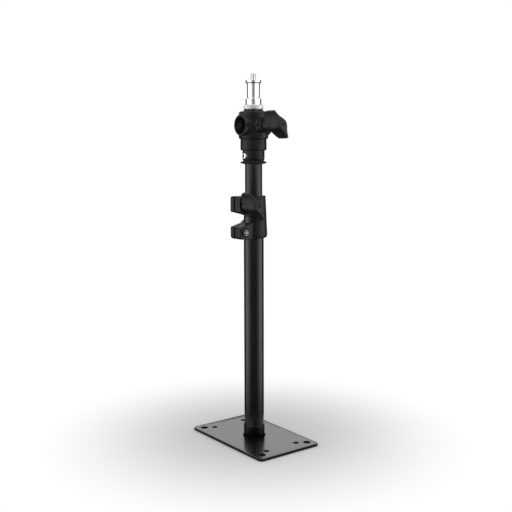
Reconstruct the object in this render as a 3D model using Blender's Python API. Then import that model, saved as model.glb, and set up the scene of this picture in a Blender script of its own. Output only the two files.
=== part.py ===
"""Light stand on a screw-down plate: telescopic mast, clamp collar, socket head and spigot.

Metres, +Z up. The origin is the middle of the plate's underside, on the mast's axis. X runs along
the plate's long side, and both winged knobs turn about +X.
"""

import math

import bmesh
import bpy
from mathutils import Matrix, Vector

SEAT_GAP = 0.0003
MERGE = 0.000001
SHARP_ANGLE = math.radians(32)

PLATE_LENGTH = 0.208
PLATE_WIDTH = 0.130
PLATE_THICKNESS = 0.005
PLATE_CORNER_RADIUS = 0.007
PLATE_EDGE_BREAK = 0.0006
LARGE_HOLE_RADIUS = 0.0065
LARGE_HOLE_INSET = (0.0165, 0.0150)
SMALL_HOLE_RADIUS = 0.005
SMALL_HOLE_INSET = (0.026, 0.032)

TUBE_RADIUS = 0.0175
TUBE_WALL = 0.0012
TUBE_LENGTH = 0.3967
GUIDE_SPACE = 0.0013
MAST_WALL = 0.0015
MAST_SHOWN = 0.055
MAST_FLOOR_GAP = 0.007

FERRULE_WALL = 0.001
FERRULE_HEIGHT = 0.021
WELD_LEG = 0.0015
WELD_FACE_SHARE = 0.65
FOOT_PLUG_HEIGHT = 0.025
FOOT_SCREW_RADIUS = 0.005
FOOT_SCREW_HEAD_RADIUS = 0.0095
FOOT_SCREW_ENGAGEMENT = 0.018
FOOT_SCREW_RECESS = 0.0004
FOOT_SCREW_RIM = 0.0006
FOOT_SCREW_KEY = 0.006
FOOT_SCREW_KEY_DEPTH = 0.0035

COLLAR_GRIP = 0.038
COLLAR_RISE = 0.036
COLLAR_WALL = 0.0062
COLLAR_TOP_WALL = 0.0035
COLLAR_FOOT_ROUND = 0.0055
COLLAR_TOP_ROUND = 0.0012
EAR_REACH = 0.018
EAR_FAR_THICKNESS = 0.01075
EAR_NEAR_THICKNESS = 0.01585
EAR_FOOT_ROUND = 0.006
EAR_TOP_ROUND = 0.0035
EAR_EDGE_ROUND = 0.002
EAR_MOUTH_ROUND = 0.003
SLIT_WIDTH = 0.0033
CLAMP_OFFSET = 0.007
COLLAR_BOLT_HEIGHT = 0.012
KNOB_BOLT_DROP = 0.015
NOTCH_APEX_DROP = 0.003
NOTCH_BELOW = 0.013
NOTCH_ABOVE = 0.011
NOTCH_DEPTH_PAST_AXIS = 0.003
NOTCH_ROUND = 0.0012

BUSH_HIDDEN = 0.024
BUSH_FLANGE_WALL = 0.0017
BUSH_SLOT_WIDTH = 0.002
BUSH_SLOT_START = 0.006

COLLAR_BOLT_RADIUS = 0.003
COLLAR_BOLT_HEAD_RADIUS = 0.005
COLLAR_BOLT_HEAD_HEIGHT = 0.006
COLLAR_BOLT_KEY = 0.005
COLLAR_NUT_FLATS = 0.010
COLLAR_NUT_THICKNESS = 0.005
COLLAR_NUT_POCKET_RADIUS = 0.0072
COLLAR_NUT_POCKET_DEPTH = 0.0025
COLLAR_BOLT_SHOWN = 0.001

KNOB_BOLT_RADIUS = 0.004
KNOB_BOLT_HEAD_FLATS = 0.013
KNOB_BOLT_HEAD_HEIGHT = 0.0053
KNOB_BOLT_POCKET_DEPTH = 0.0035
KNOB_WASHER_RADIUS = 0.013
KNOB_WASHER_THICKNESS = 0.0016

KNOB_HALF_SPAN = 0.0266
KNOB_DEPTH = 0.0372
KNOB_TIP_SETBACK = 0.006
KNOB_BACK_SWEEP = 0.009
KNOB_MIDDLE_HALF_WIDTH = 0.0082
KNOB_TIP_HALF_WIDTH = 0.0023
KNOB_EDGE_ROUND = 0.0008
KNOB_STATIONS = 16
KNOB_WIDTH_POWER = 1.8
KNOB_BACK_POWER = 5
KNOB_TIP_POWER = 1.5
KNOB_HUB_RADIUS = 0.0105
KNOB_HUB_TOP_RADIUS = 0.0076
KNOB_HUB_SHOULDER = 0.018
KNOB_TILT = math.radians(34)
KNOB_INSERT_RADIUS = 0.0065
KNOB_INSERT_LENGTH = 0.020
KNOB_DIMPLE_RADIUS = 0.0016
KNOB_DIMPLE_DEPTH = 0.0025
COLLAR_KNOB_HUB = 0.0005
HEAD_KNOB_HUB = 0.010

STOP_HEIGHT = 0.0065
STOP_FLANGE = 0.0075
STOP_HUB_WALL = 0.0032
STOP_RIM = 0.0018
STOP_RIM_SHARE = 0.4
STOP_SHOULDER_SHARE = 0.75
NECK_SOCKET_HEIGHT = 0.0162
NECK_SOCKET_WALL = 0.0039
NECK_RING_HEIGHT = 0.0188
NECK_RING_WALL = 0.00735
NECK_ROUND = 0.0018
NECK_SCREW_HEIGHT = 0.0071
NECK_SCREW_RADIUS = 0.003
NECK_SCREW_HEAD_RADIUS = 0.0055
NECK_SCREW_HEAD_HEIGHT = 0.0031
NECK_SCREW_SEAT_DEPTH = 0.0011
NECK_SCREW_EDGE = 0.0004
NECK_SCREW_DOME = math.radians(57)
NECK_SCREW_KEY = 0.004
NECK_SCREW_KEY_DEPTH = 0.0019
NECK_SCREW_BITE = 0.006

SPIGOT_RADIUS = 0.014
HEAD_WALL = 0.0112
HEAD_HEIGHT = 0.0474
HEAD_FLOOR = 0.0054
HEAD_FOOT_ROUND = 0.0036
HEAD_TOP_ROUND = 0.0035
HEAD_TOP_CROWN = 0.0012
HEAD_STEM_LENGTH = 0.036
SIDE_SOCKET_EASE = 0.0005
SOCKET_BOSS_WALL = 0.0027
SOCKET_BOSS_RISE = 0.0035
SOCKET_BOSS_FLARE = 0.005
BOSS_FLARE_SHARE = 0.9
SOCKET_MOUTH_CHAMFER = 0.0006
KNOB_BOSS_WALL = 0.0015
KNOB_BOSS_RISE = 0.0115
KNOB_BOSS_FLARE = 0.003
KNOB_BOSS_RECESS = 0.003
HUB_CLEARANCE = 0.0005
THREAD_INSERT_LENGTH = 0.0145
PAD_LENGTH = 0.004

MAST_GUIDE_LENGTH = 0.014
MAST_PLUG_LENGTH = 0.018
MAST_PLUG_FLANGE = 0.003

SPIGOT_WASHER_WALL = 0.002
SPIGOT_WASHER_THICKNESS = 0.0014
KNURL_WALL = 0.003
KNURL_HEIGHT = 0.008
KNURL_DEPTH = 0.0006
KNURL_CHAMFER = 0.0012
KNURL_TEETH = 42
SPIGOT_LOWER_LENGTH = 0.018
SPIGOT_WAIST_RADIUS = 0.0114
SPIGOT_WAIST_LENGTH = 0.0275
SPIGOT_CHAMFER = 0.0015
SPIGOT_RIM_RADIUS = 0.0138
SPIGOT_RIM_HEIGHT = 0.004
SPIGOT_END_GAP = 0.0005
STUD_RADIUS = 0.00475
STUD_SHOWN = 0.0112
STUD_HIDDEN = 0.018
STUD_CHAMFER = 0.001

TUBE_SEGMENTS = 40
KNOB_SEGMENTS = 32
BOLT_SEGMENTS = 18

SLIT_HALF = SLIT_WIDTH / 2
TUBE_BORE = TUBE_RADIUS - TUBE_WALL
MAST_RADIUS = TUBE_BORE - GUIDE_SPACE
MAST_BORE = MAST_RADIUS - MAST_WALL
TUBE_FOOT = PLATE_THICKNESS + SEAT_GAP
TUBE_TOP = TUBE_FOOT + TUBE_LENGTH
FOOT_PLUG_TOP = TUBE_FOOT + FOOT_PLUG_HEIGHT

COLLAR_FOOT = TUBE_TOP - COLLAR_GRIP
COLLAR_TOP = TUBE_TOP + COLLAR_RISE
COLLAR_BORE = TUBE_RADIUS + SEAT_GAP
COLLAR_RADIUS = COLLAR_BORE + COLLAR_WALL
BUSH_BORE = MAST_RADIUS + SEAT_GAP
BUSH_FLANGE_RADIUS = BUSH_BORE + BUSH_FLANGE_WALL
COLLAR_TOP_BORE = BUSH_FLANGE_RADIUS + SEAT_GAP
COLLAR_TOP_RADIUS = COLLAR_TOP_BORE + COLLAR_TOP_WALL
EAR_TIP = -(COLLAR_RADIUS + EAR_REACH)
EAR_FAR_FACE = -(SLIT_HALF + EAR_FAR_THICKNESS)
EAR_NEAR_FACE = SLIT_HALF + EAR_NEAR_THICKNESS
CLAMP_AXIS = -(COLLAR_RADIUS + CLAMP_OFFSET)
COLLAR_BOLT_AXIS = COLLAR_FOOT + COLLAR_BOLT_HEIGHT
KNOB_BOLT_AXIS = COLLAR_TOP - KNOB_BOLT_DROP

STOP_FOOT = COLLAR_TOP + MAST_SHOWN
NECK_SOCKET_FOOT = STOP_FOOT + STOP_HEIGHT + SEAT_GAP
NECK_RING_FOOT = NECK_SOCKET_FOOT + NECK_SOCKET_HEIGHT + SEAT_GAP
HEAD_FOOT = NECK_RING_FOOT + NECK_RING_HEIGHT + SEAT_GAP
HEAD_TOP = HEAD_FOOT + HEAD_HEIGHT
MAST_TOP = HEAD_FOOT - SEAT_GAP
MAST_FOOT = FOOT_PLUG_TOP + MAST_SHOWN + MAST_FLOOR_GAP
NECK_SCREW_AXIS = NECK_SOCKET_FOOT + NECK_SCREW_HEIGHT
NECK_SOCKET_RADIUS = BUSH_BORE + NECK_SOCKET_WALL
NECK_SCREW_SEAT = NECK_SOCKET_RADIUS - NECK_SCREW_SEAT_DEPTH
NECK_STEM_RADIUS = MAST_BORE - SEAT_GAP

SOCKET_BORE = SPIGOT_RADIUS + SEAT_GAP
HEAD_RADIUS = SOCKET_BORE + HEAD_WALL
SOCKET_AXIS = HEAD_FOOT + HEAD_HEIGHT / 2
SOCKET_FLOOR = HEAD_FOOT + HEAD_FLOOR
SOCKET_FACE = HEAD_RADIUS + SOCKET_BOSS_RISE
SIDE_SOCKET_BORE = SOCKET_BORE + SIDE_SOCKET_EASE
SOCKET_BOSS_RADIUS = SIDE_SOCKET_BORE + SOCKET_BOSS_WALL
KNOB_BOSS_FACE = HEAD_RADIUS + KNOB_BOSS_RISE
KNOB_RECESS_RADIUS = KNOB_HUB_RADIUS + HUB_CLEARANCE
KNOB_RECESS_FLOOR = KNOB_BOSS_FACE - KNOB_BOSS_RECESS
KNOB_BOSS_RADIUS = KNOB_RECESS_RADIUS + KNOB_BOSS_WALL
HEAD_KNOB_BACK = KNOB_RECESS_FLOOR + HUB_CLEARANCE
KNOB_BOLT_BORE = KNOB_BOLT_RADIUS + SEAT_GAP
KNOB_INSERT_BORE = KNOB_INSERT_RADIUS + SEAT_GAP
PAD_TIP = SOCKET_BORE + SEAT_GAP / 2
SCREW_TIP = PAD_TIP + PAD_LENGTH + SEAT_GAP
COLLAR_WASHER_BACK = EAR_NEAR_FACE + SEAT_GAP
COLLAR_KNOB_BACK = COLLAR_WASHER_BACK + KNOB_WASHER_THICKNESS + SEAT_GAP

SPIGOT_FOOT = SOCKET_FLOOR + SPIGOT_END_GAP
SPIGOT_WASHER_FOOT = HEAD_TOP + HEAD_TOP_CROWN + SEAT_GAP
KNURL_FOOT = SPIGOT_WASHER_FOOT + SPIGOT_WASHER_THICKNESS + SEAT_GAP
SPIGOT_WAIST_FOOT = KNURL_FOOT + SPIGOT_LOWER_LENGTH
SPIGOT_RIM_FOOT = SPIGOT_WAIST_FOOT + SPIGOT_WAIST_LENGTH
SPIGOT_TOP = SPIGOT_RIM_FOOT + SPIGOT_RIM_HEIGHT


def make_material(name, colour, roughness, metallic=0.0):
    material = bpy.data.materials.new(name)
    material.use_nodes = True
    shader = material.node_tree.nodes["Principled BSDF"]
    shader.inputs["Base Color"].default_value = (*colour, 1.0)
    shader.inputs["Roughness"].default_value = roughness
    shader.inputs["Metallic"].default_value = metallic
    return material


def make_empty(name, location, rotation=(0, 0, 0), parent=None):
    empty = bpy.data.objects.new(name, None)
    empty.location = location
    empty.rotation_euler = rotation
    empty.parent = parent
    bpy.context.scene.collection.objects.link(empty)
    return empty


def make_object(name, bm, material=None, location=(0, 0, 0), rotation=(0, 0, 0), parent=None):
    bmesh.ops.remove_doubles(bm, verts=bm.verts, dist=MERGE)
    bmesh.ops.recalc_face_normals(bm, faces=bm.faces)
    mesh = bpy.data.meshes.new(name)
    bm.to_mesh(mesh)
    bm.free()
    mesh.shade_smooth()
    mesh.set_sharp_from_angle(angle=SHARP_ANGLE)
    if material:
        mesh.materials.append(material)
    obj = bpy.data.objects.new(name, mesh)
    obj.location = location
    obj.rotation_euler = rotation
    obj.parent = parent
    bpy.context.scene.collection.objects.link(obj)
    return obj


def apply_tool(target, tool, operation):
    """Join, cut or intersect the target with a tool that rides in the target's own frame."""
    tool.parent = target
    tool.hide_render = True
    tool.display_type = 'WIRE'
    modifier = target.modifiers.new(tool.name, 'BOOLEAN')
    modifier.operation = operation
    modifier.solver = 'EXACT'
    modifier.object = tool


def cut(target, tool):
    apply_tool(target, tool, 'DIFFERENCE')


def join(target, tool):
    apply_tool(target, tool, 'UNION')


def arc(centre, radius, start, end, steps):
    """Points of an arc in a flat outline, from start to end in degrees."""
    points = []
    for step in range(steps + 1):
        angle = math.radians(start + (end - start) * step / steps)
        points.append((centre[0] + radius * math.cos(angle), centre[1] + radius * math.sin(angle)))
    return points


def turned(profile, segments):
    """Spin a closed (radius, height) outline about Z. Its edge on the axis, if any, is left out."""
    bm = bmesh.new()
    verts = [bm.verts.new((radius, 0, height)) for radius, height in profile]
    edges = []
    for index, vert in enumerate(verts):
        following = verts[(index + 1) % len(verts)]
        if vert.co.x > MERGE or following.co.x > MERGE:
            edges.append(bm.edges.new((vert, following)))
    bmesh.ops.spin(
        bm, geom=verts + edges, cent=(0, 0, 0), axis=(0, 0, 1), angle=math.tau, steps=segments
    )
    return bm


def rod(radius, low, high, segments=BOLT_SEGMENTS):
    return turned([(0, low), (radius, low), (radius, high), (0, high)], segments)


def chamfered_rod(radius, low, high, chamfer, segments=BOLT_SEGMENTS):
    """A rod with both ends chamfered."""
    return turned([
        (0, low), (radius - chamfer, low), (radius, low + chamfer),
        (radius, high - chamfer), (radius - chamfer, high), (0, high),
    ], segments)


def ring(inner, outer, low, high, segments=TUBE_SEGMENTS, chamfer=0.0):
    """A plain ring, with its two outer edges chamfered if asked."""
    if not chamfer:
        return turned([(inner, low), (outer, low), (outer, high), (inner, high)], segments)
    return turned([
        (inner, low), (outer - chamfer, low), (outer, low + chamfer),
        (outer, high - chamfer), (outer - chamfer, high), (inner, high),
    ], segments)


AXIS_FRAMES = {
    'X': Matrix(((0, 0, 1, 0), (1, 0, 0, 0), (0, 1, 0, 0), (0, 0, 0, 1))),
    'Y': Matrix(((1, 0, 0, 0), (0, 0, -1, 0), (0, 1, 0, 0), (0, 0, 0, 1))),
}


def along(bm, axis):
    """Turn a mesh made along Z so that it runs along +X, or along -Y."""
    bmesh.ops.transform(bm, matrix=AXIS_FRAMES[axis], verts=bm.verts)
    return bm


def prism(outline, low, high, edge_round=0.0, round_steps=2):
    """Extrude a flat outline along Z, with the edges of its two ends rounded if asked."""
    bm = bmesh.new()
    floor = bm.faces.new([bm.verts.new((x, y, low)) for x, y in outline])
    extruded = bmesh.ops.extrude_face_region(bm, geom=[floor])["geom"]
    top_verts = [item for item in extruded if isinstance(item, bmesh.types.BMVert)]
    bmesh.ops.translate(bm, verts=top_verts, vec=(0, 0, high - low))
    bmesh.ops.recalc_face_normals(bm, faces=bm.faces)
    if edge_round:
        ends = [edge for edge in bm.edges if abs(edge.verts[0].co.z - edge.verts[1].co.z) < MERGE]
        bmesh.ops.bevel(
            bm, geom=ends, offset=edge_round, segments=round_steps, profile=0.5, affect='EDGES'
        )
    return bm


def box(low, high):
    (x0, y0, z0), (x1, y1, z1) = low, high
    return prism([(x0, y0), (x1, y0), (x1, y1), (x0, y1)], z0, z1)


def hexagon(flats):
    corner = flats / math.sqrt(3)
    return [(corner * math.cos(math.tau * side / 6), corner * math.sin(math.tau * side / 6))
            for side in range(6)]


def rounded_rectangle(length, width, radius, steps=5):
    x, y = length / 2 - radius, width / 2 - radius
    return (arc((x, y), radius, 0, 90, steps) + arc((-x, y), radius, 90, 180, steps)
            + arc((-x, -y), radius, 180, 270, steps) + arc((x, -y), radius, 270, 360, steps))


def skin(sections, capped=False):
    """Skin a row of closed sections with the same number of points, and cap both ends if asked."""
    bm = bmesh.new()
    loops = [[bm.verts.new(point) for point in section] for section in sections]
    for first, second in zip(loops, loops[1:]):
        for index in range(len(first)):
            following = (index + 1) % len(first)
            bm.faces.new((first[index], first[following], second[following], second[index]))
    if capped:
        bm.faces.new(loops[0])
        bm.faces.new(loops[-1])
    return bm


def knob_blade(hub_length):
    """The knob's two wings: span along X, thickness along Y, depth along Z."""
    corner = KNOB_EDGE_ROUND
    sections = []
    for station in range(KNOB_STATIONS + 1):
        span = -math.cos(math.pi * station / KNOB_STATIONS)
        reach = abs(span)
        bell = (0.5 + 0.5 * math.cos(math.pi * reach)) ** KNOB_WIDTH_POWER
        half = KNOB_TIP_HALF_WIDTH + (KNOB_MIDDLE_HALF_WIDTH - KNOB_TIP_HALF_WIDTH) * bell
        back = hub_length + corner + KNOB_BACK_SWEEP * reach ** KNOB_BACK_POWER
        front = hub_length + KNOB_DEPTH - KNOB_TIP_SETBACK * reach ** KNOB_TIP_POWER
        if station in (0, KNOB_STATIONS):
            half -= corner
            back += corner
            front -= corner
        outline = (arc((half - corner, front - corner), corner, 0, 90, 2)
                   + arc((corner - half, front - corner), corner, 90, 180, 2)
                   + arc((corner - half, back + corner), corner, 180, 270, 2)
                   + arc((half - corner, back + corner), corner, 270, 360, 2))
        sections.append([(span * KNOB_HALF_SPAN, y, z) for y, z in outline])
    return skin(sections, capped=True)


def make_knob(name, parent, hub_length, material):
    """A winged knob along the parent's Z, its back at the parent's origin, with a blind bore."""
    total = hub_length + KNOB_DEPTH
    shoulder = hub_length + KNOB_HUB_SHOULDER
    hub = turned([
        (0, 0), (KNOB_HUB_RADIUS - KNOB_EDGE_ROUND, 0), (KNOB_HUB_RADIUS, KNOB_EDGE_ROUND),
        (KNOB_HUB_RADIUS, shoulder), (KNOB_HUB_TOP_RADIUS, total - 2 * KNOB_EDGE_ROUND),
        (0, total - 2 * KNOB_EDGE_ROUND),
    ], KNOB_SEGMENTS)
    knob = make_object(name, hub, material, rotation=(0, 0, KNOB_TILT), parent=parent)
    join(knob, make_object(name + "_wings", knob_blade(hub_length)))
    bore_end = KNOB_INSERT_LENGTH + 2 * SEAT_GAP + KNOB_BOLT_RADIUS
    cut(knob, make_object(name + "_bore", rod(KNOB_INSERT_BORE, -KNOB_HUB_RADIUS, bore_end)))
    dimple = rod(KNOB_DIMPLE_RADIUS, total - KNOB_DIMPLE_DEPTH, total + KNOB_DIMPLE_DEPTH)
    cut(knob, make_object(name + "_dimple", dimple))
    return knob


def make_base(steel, black_paint, dark_steel):
    plate = make_object("base_plate", prism(
        rounded_rectangle(PLATE_LENGTH, PLATE_WIDTH, PLATE_CORNER_RADIUS),
        0, PLATE_THICKNESS, PLATE_EDGE_BREAK, 1
    ), black_paint)
    rows = ((LARGE_HOLE_RADIUS, LARGE_HOLE_INSET), (SMALL_HOLE_RADIUS, SMALL_HOLE_INSET))
    for radius, inset in rows:
        for side_x in (-1, 1):
            for side_y in (-1, 1):
                hole = rod(radius, -PLATE_THICKNESS, 2 * PLATE_THICKNESS)
                cut(plate, make_object("plate_hole", hole, location=(
                    side_x * (PLATE_LENGTH / 2 - inset[0]), side_y * (PLATE_WIDTH / 2 - inset[1]), 0
                )))

    cone = FOOT_SCREW_HEAD_RADIUS - FOOT_SCREW_RADIUS
    rim_top = FOOT_SCREW_RECESS + FOOT_SCREW_RIM
    cone_top = min(rim_top + cone, PLATE_THICKNESS)
    seat = turned([
        (0, -PLATE_THICKNESS), (FOOT_SCREW_HEAD_RADIUS + SEAT_GAP, -PLATE_THICKNESS),
        (FOOT_SCREW_HEAD_RADIUS + SEAT_GAP, rim_top), (FOOT_SCREW_RADIUS + SEAT_GAP, cone_top),
        (FOOT_SCREW_RADIUS + SEAT_GAP, 2 * PLATE_THICKNESS), (0, 2 * PLATE_THICKNESS),
    ], BOLT_SEGMENTS)
    cut(plate, make_object("plate_screw_seat", seat))

    screw_end = TUBE_FOOT + FOOT_SCREW_ENGAGEMENT
    screw = make_object("foot_screw", turned([
        (0, FOOT_SCREW_RECESS), (FOOT_SCREW_HEAD_RADIUS, FOOT_SCREW_RECESS),
        (FOOT_SCREW_HEAD_RADIUS, rim_top), (FOOT_SCREW_RADIUS, cone_top),
        (FOOT_SCREW_RADIUS, screw_end - STUD_CHAMFER),
        (FOOT_SCREW_RADIUS - STUD_CHAMFER, screw_end), (0, screw_end),
    ], BOLT_SEGMENTS), steel)
    cut(screw, make_object("foot_screw_key", prism(
        hexagon(FOOT_SCREW_KEY), -FOOT_SCREW_RADIUS, FOOT_SCREW_RECESS + FOOT_SCREW_KEY_DEPTH
    )))

    plug = make_object("foot_plug", chamfered_rod(
        TUBE_BORE - SEAT_GAP, TUBE_FOOT, FOOT_PLUG_TOP, STUD_CHAMFER, TUBE_SEGMENTS
    ), dark_steel)
    cut(plug, make_object("foot_plug_thread", rod(
        FOOT_SCREW_RADIUS + SEAT_GAP, 0, screw_end + STUD_CHAMFER
    )))

    ferrule_bore = TUBE_RADIUS + SEAT_GAP
    ferrule_radius = ferrule_bore + FERRULE_WALL
    ferrule_top = TUBE_FOOT + FERRULE_HEIGHT
    make_object("foot_ferrule", turned([
        (ferrule_bore, TUBE_FOOT), (ferrule_radius, TUBE_FOOT),
        (ferrule_radius, ferrule_top - FERRULE_WALL), (ferrule_bore + FERRULE_WALL / 2, ferrule_top),
        (ferrule_bore, ferrule_top),
    ], TUBE_SEGMENTS), black_paint)
    weld_bore = ferrule_radius + SEAT_GAP
    make_object("foot_weld", turned([
        (weld_bore, TUBE_FOOT), (weld_bore + WELD_LEG, TUBE_FOOT),
        (weld_bore + WELD_LEG * WELD_FACE_SHARE, TUBE_FOOT + WELD_LEG * WELD_FACE_SHARE),
        (weld_bore, TUBE_FOOT + WELD_LEG),
    ], TUBE_SEGMENTS), black_paint)
    make_object("outer_tube", ring(TUBE_BORE, TUBE_RADIUS, TUBE_FOOT, TUBE_TOP), black_paint)


def make_guide_bush(plastic):
    shoulder = TUBE_TOP + SEAT_GAP
    foot = TUBE_TOP - BUSH_HIDDEN
    bush = make_object("guide_bush", turned([
        (BUSH_BORE, foot), (TUBE_BORE - SEAT_GAP, foot), (TUBE_BORE - SEAT_GAP, shoulder),
        (BUSH_FLANGE_RADIUS, shoulder), (BUSH_FLANGE_RADIUS, COLLAR_TOP), (BUSH_BORE, COLLAR_TOP),
    ], TUBE_SEGMENTS), plastic)
    reach = 1.5 * BUSH_FLANGE_RADIUS
    half = BUSH_SLOT_WIDTH / 2
    low, high = TUBE_TOP + BUSH_SLOT_START, COLLAR_TOP + BUSH_SLOT_START
    cut(bush, make_object("bush_slot_x", box((-reach, -half, low), (reach, half, high))))
    cut(bush, make_object("bush_slot_y", box((-half, -reach, low), (half, reach, high))))


def collar_barrel():
    outer = arc((COLLAR_RADIUS - COLLAR_FOOT_ROUND, COLLAR_FOOT + COLLAR_FOOT_ROUND),
                COLLAR_FOOT_ROUND, -90, 0, 4)
    outer += arc((COLLAR_TOP_RADIUS - COLLAR_TOP_ROUND, COLLAR_TOP - COLLAR_TOP_ROUND),
                 COLLAR_TOP_ROUND, 0, 90, 2)
    return turned([(0, COLLAR_FOOT)] + outer + [(0, COLLAR_TOP)], TUBE_SEGMENTS)


def collar_ears():
    """The block that the slit and the notch part into four ears, drawn in Y and Z."""
    outline = [(-COLLAR_BORE / 2, COLLAR_FOOT), (-COLLAR_BORE / 2, COLLAR_TOP)]
    outline += arc((EAR_TIP + EAR_TOP_ROUND, COLLAR_TOP - EAR_TOP_ROUND), EAR_TOP_ROUND, 90, 180, 3)
    outline += arc((EAR_TIP + EAR_FOOT_ROUND, COLLAR_FOOT + EAR_FOOT_ROUND), EAR_FOOT_ROUND, 180, 270, 4)
    return along(prism(outline, EAR_FAR_FACE, EAR_NEAR_FACE, EAR_EDGE_ROUND), 'X')


def rounded_corner(before, corner, after, radius, steps):
    """Points of the arc that rounds one corner of a flat outline."""
    corner = Vector(corner)
    first = (Vector(before) - corner).normalized()
    last = (Vector(after) - corner).normalized()
    half = first.angle(last) / 2
    centre = corner + (first + last).normalized() * (radius / math.sin(half))
    start = corner + first * (radius / math.tan(half)) - centre
    end = corner + last * (radius / math.tan(half)) - centre
    return [tuple(centre + start.slerp(end, step / steps).normalized() * radius)
            for step in range(steps + 1)]


def notch_wedge():
    """The V notch between the two clamps, drawn in Y and Z, its point and its mouth rounded."""
    apex_z = TUBE_TOP - NOTCH_APEX_DROP
    mouth = EAR_TIP - COLLAR_WALL
    point = NOTCH_DEPTH_PAST_AXIS - NOTCH_ROUND
    apex = arc((point, apex_z), NOTCH_ROUND, -80, 80, 4)
    tip = EAR_TIP - SEAT_GAP
    low_corner = (tip, apex_z - NOTCH_ROUND - NOTCH_BELOW)
    high_corner = (tip, apex_z + NOTCH_ROUND + NOTCH_ABOVE)
    low_edge = rounded_corner((tip, COLLAR_FOOT), low_corner, apex[0], EAR_MOUTH_ROUND, 4)
    high_edge = rounded_corner(apex[-1], high_corner, (tip, COLLAR_TOP), EAR_MOUTH_ROUND, 4)
    outline = [(mouth, low_edge[0][1])] + low_edge + apex + high_edge + [(mouth, high_edge[-1][1])]
    half = COLLAR_RADIUS + COLLAR_WALL
    return along(prism(outline, -half, half), 'X')


def make_collar(plastic, steel, dark_steel):
    collar = make_object("collar_body", collar_barrel(), plastic)
    join(collar, make_object("collar_ears", collar_ears()))
    bore = turned([
        (0, COLLAR_FOOT - COLLAR_WALL), (COLLAR_BORE, COLLAR_FOOT - COLLAR_WALL),
        (COLLAR_BORE, TUBE_TOP), (COLLAR_TOP_BORE, TUBE_TOP + SEAT_GAP),
        (COLLAR_TOP_BORE, COLLAR_TOP + COLLAR_WALL), (0, COLLAR_TOP + COLLAR_WALL),
    ], TUBE_SEGMENTS)
    cut(collar, make_object("collar_bore", bore))
    low, high = COLLAR_FOOT - COLLAR_WALL, COLLAR_TOP + COLLAR_WALL
    slit = box((-SLIT_HALF, EAR_TIP - COLLAR_WALL, low), (SLIT_HALF, -COLLAR_BORE / 2, high))
    cut(collar, make_object("collar_slit", slit))
    cut(collar, make_object("collar_notch", notch_wedge()))

    reach = 2 * COLLAR_RADIUS
    low_place, high_place = (0, CLAMP_AXIS, COLLAR_BOLT_AXIS), (0, CLAMP_AXIS, KNOB_BOLT_AXIS)
    bolt_hole = along(rod(COLLAR_BOLT_RADIUS + SEAT_GAP, -reach, reach), 'X')
    cut(collar, make_object("collar_bolt_hole", bolt_hole, location=low_place))
    nut_seat = EAR_NEAR_FACE - COLLAR_NUT_POCKET_DEPTH
    nut_pocket = along(rod(COLLAR_NUT_POCKET_RADIUS, nut_seat, reach), 'X')
    cut(collar, make_object("collar_nut_pocket", nut_pocket, location=low_place))
    head_seat = EAR_FAR_FACE + COLLAR_BOLT_HEAD_HEIGHT / 2
    head_pocket = along(rod(COLLAR_BOLT_HEAD_RADIUS + 2 * SEAT_GAP, -reach, head_seat), 'X')
    cut(collar, make_object("collar_head_pocket", head_pocket, location=low_place))
    knob_hole = along(rod(KNOB_BOLT_BORE, -reach, reach), 'X')
    cut(collar, make_object("knob_bolt_hole", knob_hole, location=high_place))
    knob_seat = EAR_FAR_FACE + KNOB_BOLT_POCKET_DEPTH
    knob_pocket = along(prism(hexagon(KNOB_BOLT_HEAD_FLATS + 2 * SEAT_GAP), -reach, knob_seat), 'X')
    cut(collar, make_object("knob_bolt_pocket", knob_pocket, location=high_place))

    nut_foot = nut_seat + SEAT_GAP
    nut_top = nut_foot + COLLAR_NUT_THICKNESS
    bolt_head_top = head_seat - SEAT_GAP
    bolt_head_end = bolt_head_top - COLLAR_BOLT_HEAD_HEIGHT
    bolt_end = nut_top + COLLAR_BOLT_SHOWN
    edge = COLLAR_BOLT_RADIUS / 5
    bolt = make_object("collar_bolt", along(turned([
        (0, bolt_head_end), (COLLAR_BOLT_HEAD_RADIUS - edge, bolt_head_end),
        (COLLAR_BOLT_HEAD_RADIUS, bolt_head_end + edge), (COLLAR_BOLT_HEAD_RADIUS, bolt_head_top),
        (COLLAR_BOLT_RADIUS, bolt_head_top), (COLLAR_BOLT_RADIUS, bolt_end - edge),
        (COLLAR_BOLT_RADIUS - edge, bolt_end), (0, bolt_end),
    ], BOLT_SEGMENTS), 'X'), steel, location=low_place)
    key_depth = COLLAR_BOLT_HEAD_HEIGHT / 2
    cut(bolt, make_object("collar_bolt_key", along(prism(
        hexagon(COLLAR_BOLT_KEY), -reach, bolt_head_end + key_depth), 'X')))

    corner = COLLAR_NUT_FLATS / math.sqrt(3)
    nut = make_object("collar_nut", along(prism(
        hexagon(COLLAR_NUT_FLATS), nut_foot, nut_top), 'X'), dark_steel, location=low_place)
    crown = chamfered_rod(corner, nut_foot, nut_top, corner - COLLAR_NUT_FLATS / 2)
    apply_tool(nut, make_object("nut_crown", along(crown, 'X')), 'INTERSECT')
    cut(nut, make_object("nut_thread", along(rod(COLLAR_BOLT_RADIUS + SEAT_GAP, -reach, reach), 'X')))

    head_foot = knob_seat - SEAT_GAP
    hex_head = prism(hexagon(KNOB_BOLT_HEAD_FLATS), head_foot - KNOB_BOLT_HEAD_HEIGHT, head_foot)
    knob_bolt = make_object("knob_bolt", along(hex_head, 'X'), steel, location=high_place)
    shank = chamfered_rod(
        KNOB_BOLT_RADIUS, head_foot - KNOB_BOLT_HEAD_HEIGHT / 2,
        COLLAR_KNOB_BACK + KNOB_INSERT_LENGTH, STUD_CHAMFER
    )
    join(knob_bolt, make_object("knob_bolt_shank", along(shank, 'X')))


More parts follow.
